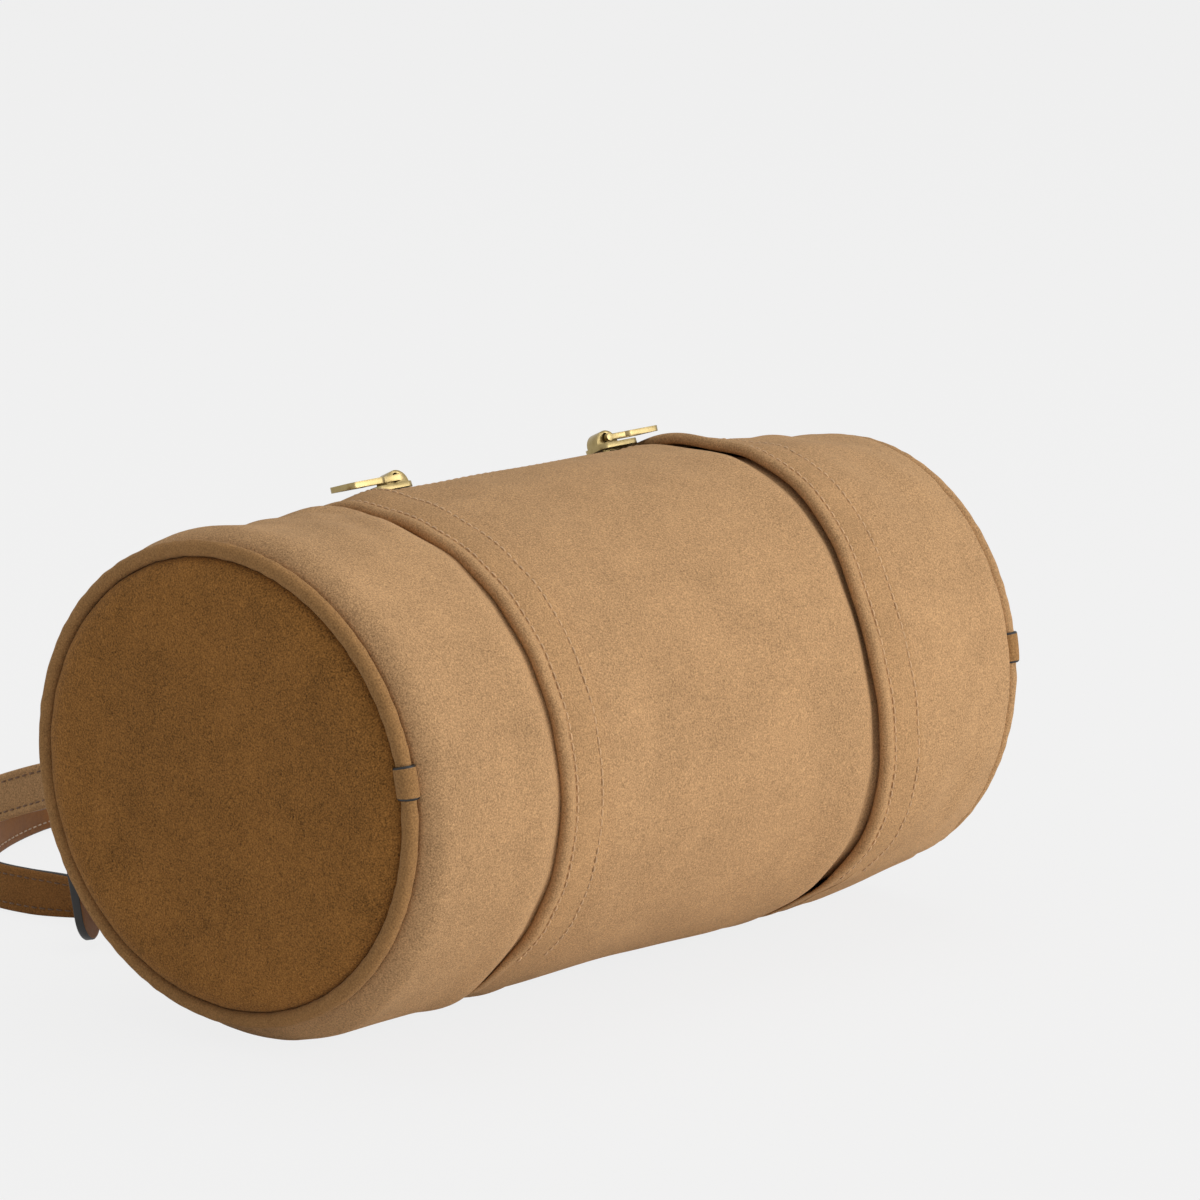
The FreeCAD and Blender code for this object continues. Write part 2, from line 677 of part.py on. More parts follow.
def check_and_write():
    doc.recompute()
    for item in doc.Objects:
        if "Invalid" in item.State or "Error" in item.State:
            raise RuntimeError(f"{item.Name} failed: {item.State}")
    for item in subparts:
        shape = item.Shape
        if shape.isNull() or not shape.isValid() or not shape.Solids:
            raise RuntimeError(f"{item.Label} has no valid solid")
    os.makedirs("parts", exist_ok=True)
    for item in subparts:
        item.Shape.exportStep(os.path.join("parts", item.Label + ".step"))
        box = item.Shape.BoundBox
        print(f"{item.Label}: {len(item.Shape.Solids)} solid, {item.Shape.Volume:.1f} mm3, "
              f"z {box.ZMin:.2f} to {box.ZMax:.2f}")


fill_sheet()
make_panels()
make_ends()
make_piping()
make_bands()
make_lining()
make_tapes()
make_teeth()
make_sliders()
make_pullers()
make_chapes()
make_rings_and_roots()
make_straps()
make_tag()
check_and_write()
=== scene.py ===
from math import asin, atan2, cos, hypot, pi, radians, sin, sqrt

import bmesh
import bpy
import numpy as np
from mathutils import Matrix, Vector


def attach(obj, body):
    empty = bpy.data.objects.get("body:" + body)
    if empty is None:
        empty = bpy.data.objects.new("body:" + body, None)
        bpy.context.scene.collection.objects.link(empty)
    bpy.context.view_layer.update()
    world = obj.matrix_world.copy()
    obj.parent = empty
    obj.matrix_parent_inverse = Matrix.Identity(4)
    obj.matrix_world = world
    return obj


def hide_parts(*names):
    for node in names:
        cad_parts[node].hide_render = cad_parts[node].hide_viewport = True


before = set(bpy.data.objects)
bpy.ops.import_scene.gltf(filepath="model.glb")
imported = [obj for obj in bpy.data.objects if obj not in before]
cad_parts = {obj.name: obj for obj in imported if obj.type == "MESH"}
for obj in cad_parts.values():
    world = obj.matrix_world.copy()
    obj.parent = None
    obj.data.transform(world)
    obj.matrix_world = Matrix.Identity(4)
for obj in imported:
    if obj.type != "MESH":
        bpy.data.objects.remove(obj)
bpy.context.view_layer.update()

# Sizes in millimetres, in the frame of the CAD model
MM = 0.001
X_AXIS = np.array([1.0, 0.0, 0.0])
HALF_WIDTH = 66.0
HALF_HEIGHT = 67.2
AXIS_HEIGHT = 68.1
PANEL_THICKNESS = 1.5
SEAM_DEPTH = 2.5
SEAM_STEP = 1.4
PIPING_RADIUS = 2.15
BAND_MIDDLE = 60.0
BAND_HALF = 8.3
BAND_HEIGHT = 1.8
STITCH_PITCH = 2.7
ZIP_ANGLE = radians(25.0)
ZIP_PER_TURN = hypot(HALF_WIDTH * cos(ZIP_ANGLE), HALF_HEIGHT * sin(ZIP_ANGLE))
SLOT_HALF = 5.5
SLOT_LENGTH = 50.9
STRAP_HALF = 6.3
STRAP_DEPTH = 1.3
STRAP_START = 11.6
ROOT_END = 23.0
LEG_BEND = 30.0
LEG_LENGTH = 60.0
SPLAY = radians(10.0)
TWIST_START = 26.0
RING_HEIGHT = 10.0
RING_WIRE = 1.25
RING_HALF = 9.0
RING_CORNER = 2.4
TUNNEL_HEIGHT = 2.4
HANDLE_ANGLES = {"upper": radians(100.5), "lower": radians(135.9)}
SIDES = (("near", -1), ("far", 1))

# Each handle is a round loop between two splayed legs
LEG_END = ROOT_END + LEG_BEND * SPLAY + LEG_LENGTH
LEG_SPREAD = BAND_MIDDLE + LEG_BEND * (1 - cos(SPLAY)) + LEG_LENGTH * sin(SPLAY)
BIGHT_RADIUS = LEG_SPREAD / cos(SPLAY)
BIGHT_MIDDLE = (ROOT_END + LEG_BEND * sin(SPLAY) + LEG_LENGTH * cos(SPLAY)
                + BIGHT_RADIUS * sin(SPLAY))
HANDLE_REACH = BIGHT_MIDDLE + BIGHT_RADIUS

# Strap's floor clearance and spacing of points, and how far the soft strap reaches across and in depth
STRAP_GAP = 0.3
STRAP_STEP = 2.2
SOFT_HALF, SOFT_DEPTH = 6.42, 1.6

# Where each soft handle begins to sag, over what length and how far, how much wider its loop lies and how
# much shorter both lie, each with the place where that begins
SAGS = {"upper": (45.0, 60.0, 1.6), "lower": (26.0, 36.0, 9.0)}
SPREADS = {"upper": 0.04, "lower": 0.19}
SPREAD_START, SPREAD_LENGTH = 32.0, 52.0
SHORTENING = 17.0
SHORT_START, SHORT_END = 75.0, HANDLE_REACH - 15.0

# Half width, half height and middle height of each end's piping line, where it stands along the barrel,
# and how far behind it the panel swells to full size
RING_SHAPES = {-1: (62.0, 62.0, 69.6), 1: (59.0, 58.8, 67.2)}
END_PLACES = {-1: -124.0, 1: 109.0}
SHOULDERS = {-1: 12.0, 1: 50.0}

# The soft barrel sinks and swells between its ends: amounts in rows by the angle from the top, at the places
# along it between the first and the last
SETTLE_PLACES = (-124.0, -98.0, -68.4, -51.7, -26.0, 0.0, 26.0, 51.7, 68.4, 90.0, 109.0)
SETTLE = {
    -180: (-2.4, -1.6, 0.0, 0.0, 0.0, 0.0, 0.0, 0.0, 0.0),
    -165: (-2.4, -1.6, 0.8, 0.0, 0.0, 0.0, 0.0, -0.1, -0.1),
    -150: (-0.4, -0.4, 0.0, 0.0, 0.0, 0.0, -0.8, -2.1, -2.1),
    -135: (-0.4, -1.2, -0.8, 0.0, 0.0, 0.0, 0.2, -0.6, -0.6),
    -120: (-0.1, -0.4, -0.2, 0.0, 0.0, 0.0, 1.0, 0.4, 0.0),
    -105: (0.3, 0.9, 0.5, 0.0, 0.0, 0.0, 0.5, 0.2, 0.0),
    -90: (0.5, 1.5, 0.8, 0.0, 0.0, 0.0, -0.5, -1.0, -0.8),
    -75: (0.2, 0.5, 0.2, 0.0, 0.0, 0.0, -1.6, -2.0, -1.6),
    -60: (-0.2, -0.5, -0.4, 0.0, 0.0, 0.0, -1.5, -2.0, -1.6),
    -45: (-0.6, -1.9, -1.2, -0.3, 0.0, 0.0, -0.4, -1.2, -1.2),
    -30: (-0.9, -3.4, -2.6, -0.8, 0.0, 0.0, 0.3, -0.6, -1.0),
    -15: (-1.1, -4.6, -3.6, -1.2, 0.0, 0.0, -0.5, -1.2, -1.6),
    0: (-2.4, -4.4, -2.6, -0.6, 0.1, 0.1, -2.0, -3.8, -3.6),
    18: (-2.2, -2.0, 0.5, 0.4, 0.2, 0.2, -0.4, -3.8, -3.2),
    40: (-0.8, -0.8, 0.0, 0.0, 0.0, 0.0, 0.0, -1.6, -1.4),
    75: (0.0, 0.0, 0.0, 0.0, 0.0, 0.0, 0.0, 0.0, 0.0),
    150: (-1.9, 0.0, 0.0, 0.0, 0.0, 0.0, 0.0, 0.0, 0.0),
    180: (-2.4, -1.6, 0.0, 0.0, 0.0, 0.0, 0.0, 0.0, 0.0),
}

# Depth and width of the crease that a band presses into the panel beside its corded and its plain edge,
# and height, distance and width of the swell beyond a corded edge
CORD_CREASE = (2.2, 3.4)
PLAIN_CREASE = (0.5, 4.5)
CREASE_SWELL = (0.7, 9.0, 6.0)

# Beside the piping: gap, depth and width of the groove, and the lengths over which the panel rises,
# puckers and becomes uneven
GROOVE_GAP, GROOVE_DEPTH, GROOVE_WIDTH = 0.3, 0.6, 0.8
SEAT_LENGTH = 7.0
PUCKER_LENGTH = 6.0
SEAM_FADE = 14.0

# Pulls in the leather: place along the barrel, angle from the top, slant, width and height
PULLS = ((-80, -0.10, 0.35, 2.8, 0.5), (-76, 0.16, -0.42, 2.4, 0.5), (-93, 0.42, 0.5, 2.6, 0.4),
         (90, -0.5, -0.4, 5.0, 0.9), (84, 0.25, 0.4, 2.8, 0.4), (-86, 1.9, 0.5, 3.0, 0.6),
         (88, 2.2, -0.5, 3.0, 0.6), (-30, 2.4, 0.3, 3.2, 0.4), (30, 1.4, -0.3, 3.2, 0.4),
         (92, -2.0, 0.5, 5.0, 0.9))
PULL_ALONG, PULL_ROUND = 13.0, 17.0

# Floor clearance of the panels, and how far each end's lean fades into the barrel
FLOOR_GAP = 0.4
LEAN_LENGTH, LEAN_POWER = 52.0, 1.4


# Mesh helpers


def eased(value):
    # Smooth step from 0 to 1
    share = np.clip(value, 0, 1)
    return share * share * (3 - 2 * share)


def add_object(name, mesh, body, replaced):
    obj = bpy.data.objects.new(name, mesh)
    bpy.context.scene.collection.objects.link(obj)
    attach(obj, body)
    if replaced:
        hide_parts(*replaced)
    return obj


def build(name, verts, faces, materials, body, replaced, face_slots=None, closed=True):
    mesh = bpy.data.meshes.new(name)
    mesh.from_pydata((np.asarray(verts, float).reshape(-1, 3) * MM).tolist(), [], faces)
    mesh.validate()
    for material in materials:
        mesh.materials.append(material)
    if face_slots is not None:
        mesh.polygons.foreach_set("material_index", face_slots)
    if closed:
        bm = bmesh.new()
        bm.from_mesh(mesh)
        bmesh.ops.recalc_face_normals(bm, faces=bm.faces)
        bm.to_mesh(mesh)
        bm.free()
    mesh.polygons.foreach_set("use_smooth", [True] * len(mesh.polygons))
    mesh.update()
    return add_object(name, mesh, body, replaced)


def grid_faces(rows, cols, wrap_rows=False):
    # Faces between rows of points, each row a closed loop
    faces = []
    for i in range(rows if wrap_rows else rows - 1):
        k = (i + 1) % rows
        for j in range(cols):
            n = (j + 1) % cols
            faces.append((i * cols + j, i * cols + n, k * cols + n, k * cols + j))
    return faces


def sweep(sections, wrap_path=False):
    # Closed profile carried along a path: sections is (path, profile, 3)
    sections = np.asarray(sections, float)
    rows, cols, _ = sections.shape
    verts = sections.reshape(-1, 3)
    faces = grid_faces(rows, cols, wrap_path)
    if not wrap_path:
        faces.append(tuple(reversed(range(cols))))
        faces.append(tuple(range((rows - 1) * cols, rows * cols)))
    return verts, faces


def build_sweep(name, sections, materials, body, replaced, is_edge=None, wrap_path=False):
    # Swept shape, in its second material where a face's rows and columns make it a cut edge
    verts, faces = sweep(sections, wrap_path)
    slots = None
    if is_edge:
        count = len(sections[0])
        slots = [int(is_edge({v // count for v in face}, {v % count for v in face})) for face in faces]
    build(name, verts, faces, materials, body, replaced, slots)


def mirrored(points):
    # The other half of an outline, in the order in which it follows
    return [(-x, y) for x, y in reversed(points)]


def flipped(faces):
    return [tuple(reversed(face)) for face in faces]


def path_run(points):
    # Length of a path up to each of its points
    return np.concatenate([[0], np.cumsum(np.linalg.norm(np.diff(points, axis=0), axis=1))])


def smooth_path(points, count):
    # Even points on a smooth curve through the given ones
    points = np.asarray(points, float)
    dense = []
    last = len(points) - 1
    for i in range(last):
        p0 = points[max(i - 1, 0)]
        p1, p2 = points[i], points[i + 1]
        p3 = points[min(i + 2, last)]
        for s in np.linspace(0, 1, 16, endpoint=False):
            dense.append(0.5 * (2 * p1 + (p2 - p0) * s + (2 * p0 - 5 * p1 + 4 * p2 - p3) * s ** 2
                                + (3 * p1 - p0 - 3 * p2 + p3) * s ** 3))
    dense.append(points[-1])
    dense = np.array(dense)
    run = path_run(dense)
    even = np.linspace(0, run[-1], count)
    return np.stack([np.interp(even, run, dense[:, k]) for k in range(dense.shape[1])], axis=1)


def ripple(along, turn, seed, count, along_range, turn_range):
    # Smooth seeded unevenness over the barrel, about -1 to 1
    rng = np.random.default_rng(seed)
    total = np.zeros(np.broadcast(along, turn).shape)
    for _ in range(count):
        rate = rng.uniform(*along_range) * rng.choice((-1, 1))
        waves = rng.integers(*turn_range)
        total = total + np.cos(rate * along + waves * turn + rng.uniform(0, 2 * pi))
    return total / sqrt(count)


def round_ripple(turn, seed, count, turn_range):
    # The same round the barrel alone
    return ripple(0.0, turn, seed, count, (0.0, 0.01), turn_range)


class Gathered:
    # Many small swept shapes in one mesh
    def __init__(self):
        self.verts = []
        self.faces = []

    def add(self, sections):
        verts, faces = sweep(sections)
        base = len(self.verts)
        self.verts += list(verts)
        self.faces += [tuple(base + v for v in face) for face in faces]


class Stitches(Gathered):
    # Threads in rings: each ring's place along the thread, its swell and its lift
    RINGS = ((-0.5, 0.35, -0.6), (-0.36, 0.9, 0.15), (0.0, 1.0, 0.45), (0.36, 0.9, 0.15), (0.5, 0.35, -0.6))
    TURNS = np.arange(6) * pi / 3
    LOOK = 0.4

    def stitch(self, centre, heading, normal, length, radius):
        heading = heading / np.linalg.norm(heading)
        normal = normal - heading * np.dot(normal, heading)
        normal = normal / np.linalg.norm(normal)
        across = np.cross(normal, heading)
        sections = []
        for place, swell, lift in self.RINGS:
            middle = centre + heading * place * length + normal * lift * radius
            sections.append([middle + (across * cos(t) + normal * sin(t)) * swell * radius
                             for t in self.TURNS])
        self.add(sections)

    def line(self, points, normals, pitch=STITCH_PITCH, length=2.25, radius=0.3, closed=False):
        points = np.asarray(points, float)
        normals = np.asarray(normals, float)
        if closed:
            points = np.vstack([points, points[:1]])
            normals = np.vstack([normals, normals[:1]])
        run = path_run(points)

        def at(place, values):
            return np.array([np.interp(place, run, values[:, k]) for k in range(3)])

        count = max(int(round(run[-1] / pitch)), 1)
        for i in range(count):
            middle = run[-1] * (i + 0.5) / count
            ahead = at(min(middle + self.LOOK, run[-1]), points) - at(max(middle - self.LOOK, 0), points)
            self.stitch(at(middle, points), ahead, at(middle, normals), length, radius)

    def finish(self, name, material, body, slot):
        build(name, self.verts, self.faces, [material], body, (), closed=False)


# Materials


def plug(tree, node, values):
    # Sockets take constants, or links from other nodes
    for key, value in values.items():
        if isinstance(value, bpy.types.NodeSocket):
            tree.links.new(value, node.inputs[key])
        else:
            node.inputs[key].default_value = value


def add_node(tree, kind, values=None, **settings):
    node = tree.nodes.new("ShaderNode" + kind)
    for key, value in settings.items():
        setattr(node, key, value)
    plug(tree, node, values or {})
    return node


def shader(name):
    material = bpy.data.materials.new(name)
    material.use_nodes = True
    tree = material.node_tree
    place = add_node(tree, "TexCoord").outputs["Object"]
    return material, tree, tree.nodes["Principled BSDF"], place


def noise(tree, place, scale, detail, rough, distortion=0.0):
    values = {"Vector": place, "Scale": scale, "Detail": detail, "Roughness": rough, "Distortion": distortion}
    return add_node(tree, "TexNoise", values).outputs["Fac"]


def maths(tree, operation, first, second):
    return add_node(tree, "Math", {0: first, 1: second}, operation=operation).outputs[0]


def weigh(tree, *parts):
    # Weighted sum of texture values
    total = None
    for value, weight in parts:
        piece = maths(tree, "MULTIPLY", value, weight)
        total = piece if total is None else maths(tree, "ADD", total, piece)
    return total


def ramp(tree, value, places, colours):
    node = add_node(tree, "ValToRGB", {"Fac": value})
    elements = node.color_ramp.elements
    while len(elements) < len(places):
        elements.new(0.5)
    for element, place, colour in zip(elements, places, colours):
        element.position = place
        element.color = (*colour, 1.0)
    return node.outputs["Color"]


def tones(tree, value, places, colour, spread):
    # Ramp from a darker to a lighter shade of one colour
    dark = [c * (1 - spread) for c in colour]
    light = [min(c * (1 + spread), 1.0) for c in colour]
    return ramp(tree, value, places, (dark, colour, light))


def bump(tree, height, distance, strength, below=None):
    values = {"Height": height, "Distance": distance, "Strength": strength}
    if below is not None:
        values["Normal"] = below
    return add_node(tree, "Bump", values).outputs["Normal"]


def remap(tree, value, low, high):
    values = {"Value": value, "From Min": 0.25, "From Max": 0.75, "To Min": low, "To Max": high}
    return add_node(tree, "MapRange", values).outputs["Result"]


def suede(name, colour, spread=0.58):
    material, tree, bsdf, place = shader(name)
    nap = noise(tree, place, 2200.0, 2.0, 0.6)
    fleck = noise(tree, place, 560.0, 3.0, 0.7)
    mottle = noise(tree, place, 115.0, 4.0, 0.62, 0.4)
    brushed = noise(tree, place, 24.0, 3.0, 0.55, 0.8)
    mix = weigh(tree, (nap, 0.66), (fleck, 0.10), (mottle, 0.10), (brushed, 0.14))
    fine = bump(tree, nap, 0.0004, 0.6)
    coarse = bump(tree, fleck, 0.0005, 0.3, fine)
    plug(tree, bsdf, {
        "Base Color": tones(tree, mix, (0.28, 0.5, 0.72), colour, spread),
        "Roughness": remap(tree, mottle, 0.98, 0.86),
        "Normal": bump(tree, mottle, 0.0009, 0.22, coarse),
        "Specular IOR Level": 0.12,
        "Sheen Weight": 0.12,
        "Sheen Roughness": 0.5,
        "Sheen Tint": (1.0, 0.74, 0.46, 1.0)})
    return material


def smooth_leather(name, colour, roughness=0.5):
    material, tree, bsdf, place = shader(name)
    grain = add_node(tree, "TexVoronoi", {"Vector": place, "Scale": 1500.0, "Randomness": 1.0},
                     feature="DISTANCE_TO_EDGE")
    pores = noise(tree, place, 900.0, 3.0, 0.6)
    cloud = noise(tree, place, 70.0, 4.0, 0.6, 0.5)
    mix = weigh(tree, (pores, 0.35), (cloud, 0.65))
    cells = bump(tree, grain.outputs["Distance"], 0.00012, 0.35)
    plug(tree, bsdf, {
        "Base Color": tones(tree, mix, (0.3, 0.52, 0.74), colour, 0.3),
        "Roughness": remap(tree, cloud, roughness - 0.08, roughness + 0.1),
        "Normal": bump(tree, pores, 0.00018, 0.3, cells),
        "Specular IOR Level": 0.22})
    return material


def thread(name, colour):
    material, tree, bsdf, place = shader(name)
    fibre = noise(tree, place, 3600.0, 3.0, 0.7)
    tone = noise(tree, place, 180.0, 2.0, 0.5)
    mix = weigh(tree, (fibre, 0.55), (tone, 0.45))
    plug(tree, bsdf, {
        "Base Color": tones(tree, mix, (0.3, 0.5, 0.7), colour, 0.35),
        "Normal": bump(tree, fibre, 0.0001, 0.5),
        "Roughness": 0.75,
        "Sheen Weight": 0.2})
    return material


def edge_paint(name):
    material, tree, bsdf, place = shader(name)
    drag = noise(tree, place, 420.0, 4.0, 0.6)
    dust = noise(tree, place, 1800.0, 2.0, 0.6)
    mix = weigh(tree, (drag, 0.6), (dust, 0.4))
    blacks = ((0.006, 0.0055, 0.005), (0.012, 0.0105, 0.009), (0.024, 0.02, 0.016))
    plug(tree, bsdf, {
        "Base Color": ramp(tree, mix, (0.35, 0.6, 0.8), blacks),
        "Roughness": remap(tree, drag, 0.36, 0.55),
        "Normal": bump(tree, drag, 0.0002, 0.25)})
    return material


def brass(name):
    material, tree, bsdf, place = shader(name)
    wear = noise(tree, place, 260.0, 4.0, 0.6, 0.3)
    micro = noise(tree, place, 2400.0, 3.0, 0.6)
    mix = weigh(tree, (wear, 0.7), (micro, 0.3))
    golds = ((0.27, 0.20, 0.085), (0.36, 0.275, 0.125), (0.46, 0.36, 0.18))
    plug(tree, bsdf, {
        "Base Color": ramp(tree, mix, (0.3, 0.5, 0.72), golds),
        "Roughness": remap(tree, mix, 0.26, 0.42),
        "Normal": bump(tree, micro, 0.00004, 0.12),
        "Metallic": 1.0})
    return material


def woven(name, colour, threads):
    material, tree, bsdf, place = shader(name)
    values = {"Vector": place, "Scale": threads, "Distortion": 0.4, "Detail": 1.0}
    waves = [add_node(tree, "TexWave", values, wave_type="BANDS", bands_direction=way) for way in "XY"]
    cross = maths(tree, "MULTIPLY", *(wave.outputs["Fac"] for wave in waves))
    slub = noise(tree, place, 700.0, 3.0, 0.6)
    mix = weigh(tree, (cross, 0.55), (slub, 0.45))
    plug(tree, bsdf, {
        "Base Color": tones(tree, mix, (0.2, 0.45, 0.75), colour, 0.4),
        "Normal": bump(tree, cross, 0.0002, 0.5),
        "Roughness": 0.85})
    return material


SUEDE = suede("suede_tan", (0.468, 0.277, 0.134))
# Painted shade: the end discs' suede is darker and more saturated than the barrel's, standing in for the shade
# on the near end that faces away from the key; the far disc shares it
SUEDE_END_SHADE = suede("suede_end_painted_shade", (0.278, 0.124, 0.030), 0.96)
# Painted shade: the lower handle's suede is darkened and saturated for the shade it lies in behind the barrel;
# the upper handle keeps the plain trim suede
SUEDE_LOWER_STRAP_SHADE = suede("suede_lower_strap_painted_shade", (0.235, 0.105, 0.030), 0.56)
# Darker suede: on the near piping it is painted shade, that piping lying in shade while the far one keeps the
# plain trim suede; on the piping sleeves it is the tabs' own darker tone
SUEDE_CORD_SHADE_AND_TONE = suede("suede_cord_shade_and_tone", (0.33, 0.175, 0.066), 0.5)
SUEDE_TRIM = suede("suede_trim", (0.44, 0.256, 0.12), 0.56)
LEATHER = smooth_leather("handle_lining_leather", (0.275, 0.112, 0.029))
TAG_LEATHER = smooth_leather("tag_leather", (0.25, 0.118, 0.05), 0.55)
EDGE = edge_paint("edge_paint")
# Tan thread a little paler than the suede: partly its own tone, partly painted light, lightened so that
# stitches sitting in shaded grooves read as lit puffs
THREAD_TONE_AND_LIT = thread("thread_tan_tone_and_lit", (0.54, 0.33, 0.165))
THREAD_PALE = thread("thread_pale", (0.60, 0.46, 0.33))
THREAD_DARK = thread("thread_brown", (0.16, 0.085, 0.04))
BRASS = brass("brass_polished")
TAPE = woven("zip_tape_weave", (0.20, 0.11, 0.05), 420.0)
CLOTH = woven("lining_weave", (0.42, 0.32, 0.21), 300.0)
BOARD = smooth_leather("fibre_board", (0.13, 0.115, 0.10), 0.8)


# Barrel surface


def end_lean(side, y, z):
    # The soft ends don't stand quite square to the barrel
    if side < 0:
        return -0.135 * y - 0.009 * (z - RING_SHAPES[-1][2])
    return -0.016 * y + 0.05 * (z - AXIS_HEIGHT)


def end_row(side, turn, share, forward):
    # Ring of points at an end, as a share of the piping line's size and so far out from it
    wide, tall, middle = RING_SHAPES[side]
    y = wide * share * np.sin(turn)
    z = middle + tall * share * np.cos(turn)
    return np.stack([END_PLACES[side] + side * forward + end_lean(side, y, z), y, z], axis=-1)


def full_turn(count):
    return np.linspace(0, 2 * pi, count, endpoint=False)


def half_way(angle):
    # The same angle between minus and plus half a turn
    return (angle + pi) % (2 * pi) - pi


def ease(place, count):
    low = np.clip(np.floor(place).astype(int), 0, count - 2)
    return low, eased(place - low)


def settle(along, turn):
    # How far the soft barrel swells or sinks at a place
    table = np.pad(list(SETTLE.values()), ((0, 0), (1, 1)))
    degrees = np.degrees(half_way(turn))
    row, down = ease(np.interp(degrees, list(SETTLE), np.arange(len(SETTLE))), len(SETTLE))
    column, over = ease(np.interp(along, SETTLE_PLACES, np.arange(len(SETTLE_PLACES))), len(SETTLE_PLACES))
    first = table[row, column] * (1 - over) + table[row, column + 1] * over
    second = table[row + 1, column] * (1 - over) + table[row + 1, column + 1] * over
    return first * (1 - down) + second * down


def rest_low(z, low):
    # Lets nothing sink through the floor
    return low + 0.5 * ((z - low) + np.sqrt((z - low) ** 2 + 0.3))


def unevenness(along, turn, depth):
    # Creases, swells and pulls of the panels; depth is the distance from the nearer end
    near = along < 0
    gap = np.clip(np.abs(np.abs(along) - BAND_MIDDLE) - BAND_HALF, 0, None)
    corded = (along < -BAND_MIDDLE) | ((along > 0) & (along < BAND_MIDDLE))
    crease, breadth = (np.where(corded, cord, plain) for cord, plain in zip(CORD_CREASE, PLAIN_CREASE))
    bulge = -crease * np.exp(-(gap / breadth) ** 2)
    swell, distance, width = CREASE_SWELL
    bulge = bulge + np.where(corded, swell, 0.0) * np.exp(-((gap - distance) / width) ** 2)
    past = depth - SEAM_DEPTH
    seam = np.clip(past / SEAM_FADE, 0, 1)
    bulge = bulge + 0.30 * seam * ripple(along, turn, 4, 9, (0.03, 0.09), (1, 6))
    bulge = bulge + 0.11 * seam * ripple(along, turn, 9, 12, (0.08, 0.22), (4, 14))
    # The near panel rises out of the groove beside the piping, the far one has its thickness at once
    beside = past - GROOVE_GAP
    seat = np.where(near, np.clip(beside / SEAT_LENGTH, 0, 1), 1.0)
    outer = PANEL_THICKNESS * seat * (2 - seat)
    outer = outer - np.where(near, GROOVE_DEPTH, 0.0) * np.exp(-np.clip(beside, 0, None) / GROOVE_WIDTH)
    bulge = bulge + np.where(np.abs(along) > BAND_MIDDLE, outer, 0.0)
    pucker = np.exp(-np.clip(past, 0, None) / PUCKER_LENGTH)
    bulge = bulge - 0.30 * pucker * np.clip(round_ripple(turn, 12, 9, (16, 44)), 0, 2)
    for place, angle, slant, width, height in PULLS:
        du = along - place
        dv = HALF_WIDTH * half_way(turn - angle)
        fade = np.exp(-(du / PULL_ALONG) ** 2 - (dv / PULL_ROUND) ** 2)
        bulge = bulge + height * fade * np.sin((du - slant * dv) / width) * seam
    return bulge


def skin(along, turn, inset=0.0, uneven=True):
    # Point of the soft barrel at a place along it and an angle from the top towards the handles
    along, turn = np.broadcast_arrays(np.asarray(along, float), np.asarray(turn, float))
    near = along < 0
    depth = np.where(near, along - END_PLACES[-1], END_PLACES[1] - along)
    shoulder = np.where(near, SHOULDERS[-1], SHOULDERS[1])
    share = np.clip((depth - SEAM_DEPTH) / (shoulder - SEAM_DEPTH), 0, 1)
    grow = 1 - (1 - share) ** 2
    shape = [np.where(near, RING_SHAPES[-1][k], RING_SHAPES[1][k]) for k in range(3)]
    wide = shape[0] + SEAM_STEP + grow * (HALF_WIDTH - shape[0] - SEAM_STEP) - inset
    tall = shape[1] + SEAM_STEP + grow * (HALF_HEIGHT - shape[1] - SEAM_STEP) - inset
    middle = shape[2] + grow * (AXIS_HEIGHT - shape[2])
    bulge = settle(along, turn)
    if uneven:
        bulge = bulge + unevenness(along, turn, depth)
    slope = np.arctan2(tall * np.sin(turn), wide * np.cos(turn))
    y = wide * np.sin(turn) + bulge * np.sin(slope)
    z = rest_low(middle + tall * np.cos(turn) + bulge * np.cos(slope), FLOOR_GAP + inset)
    fade = np.clip(1 - depth / LEAN_LENGTH, 0, 1) ** LEAN_POWER
    lean = np.where(near, end_lean(-1, y, z), end_lean(1, y, z)) * fade
    return np.stack([along + lean, y, z], axis=-1)


# The far band's sways, as amount, angle and breadth, and where each band thins on the floor and by what share:
# start and length in degrees, in front and behind
BAND_SWAYS = ((1.3, -2.05, 0.3), (-1.5, -1.15, 0.35))
FRONT_THINNING, BACK_THINNING = (122, 24), (158, 20)
THINNED_SHARE = 0.75


def barrel_slope(turn):
    return np.arctan2(HALF_HEIGHT * np.sin(turn), HALF_WIDTH * np.cos(turn))


def band_point(side, across, turn, height):
    # Point on a band, across its width and above the settled barrel; it thins where it lies on the floor
    across, turn, height = np.broadcast_arrays(across, turn, height)
    sway = sum(amount * np.exp(-((turn - angle) / breadth) ** 2) for amount, angle, breadth in BAND_SWAYS)
    start, length = (np.where(turn < 0, front, back) for front, back in zip(FRONT_THINNING, BACK_THINNING))
    under = eased((np.degrees(np.abs(turn)) - start) / length)
    rise = height * (1 - THINNED_SHARE * under) + settle(side * BAND_MIDDLE + across, turn)
    slope = barrel_slope(turn)
    y = HALF_WIDTH * np.sin(turn) + rise * np.sin(slope)
    z = AXIS_HEIGHT + HALF_HEIGHT * np.cos(turn) + rise * np.cos(slope)
    # Only the outer face comes down to the floor
    z = np.where(height > 0.6, np.maximum(z, 0.02 + 0.05 * np.abs(z)), np.maximum(z, 0.5))
    return np.stack([side * BAND_MIDDLE + across + (sway if side > 0 else 0.0), y, z], axis=-1)


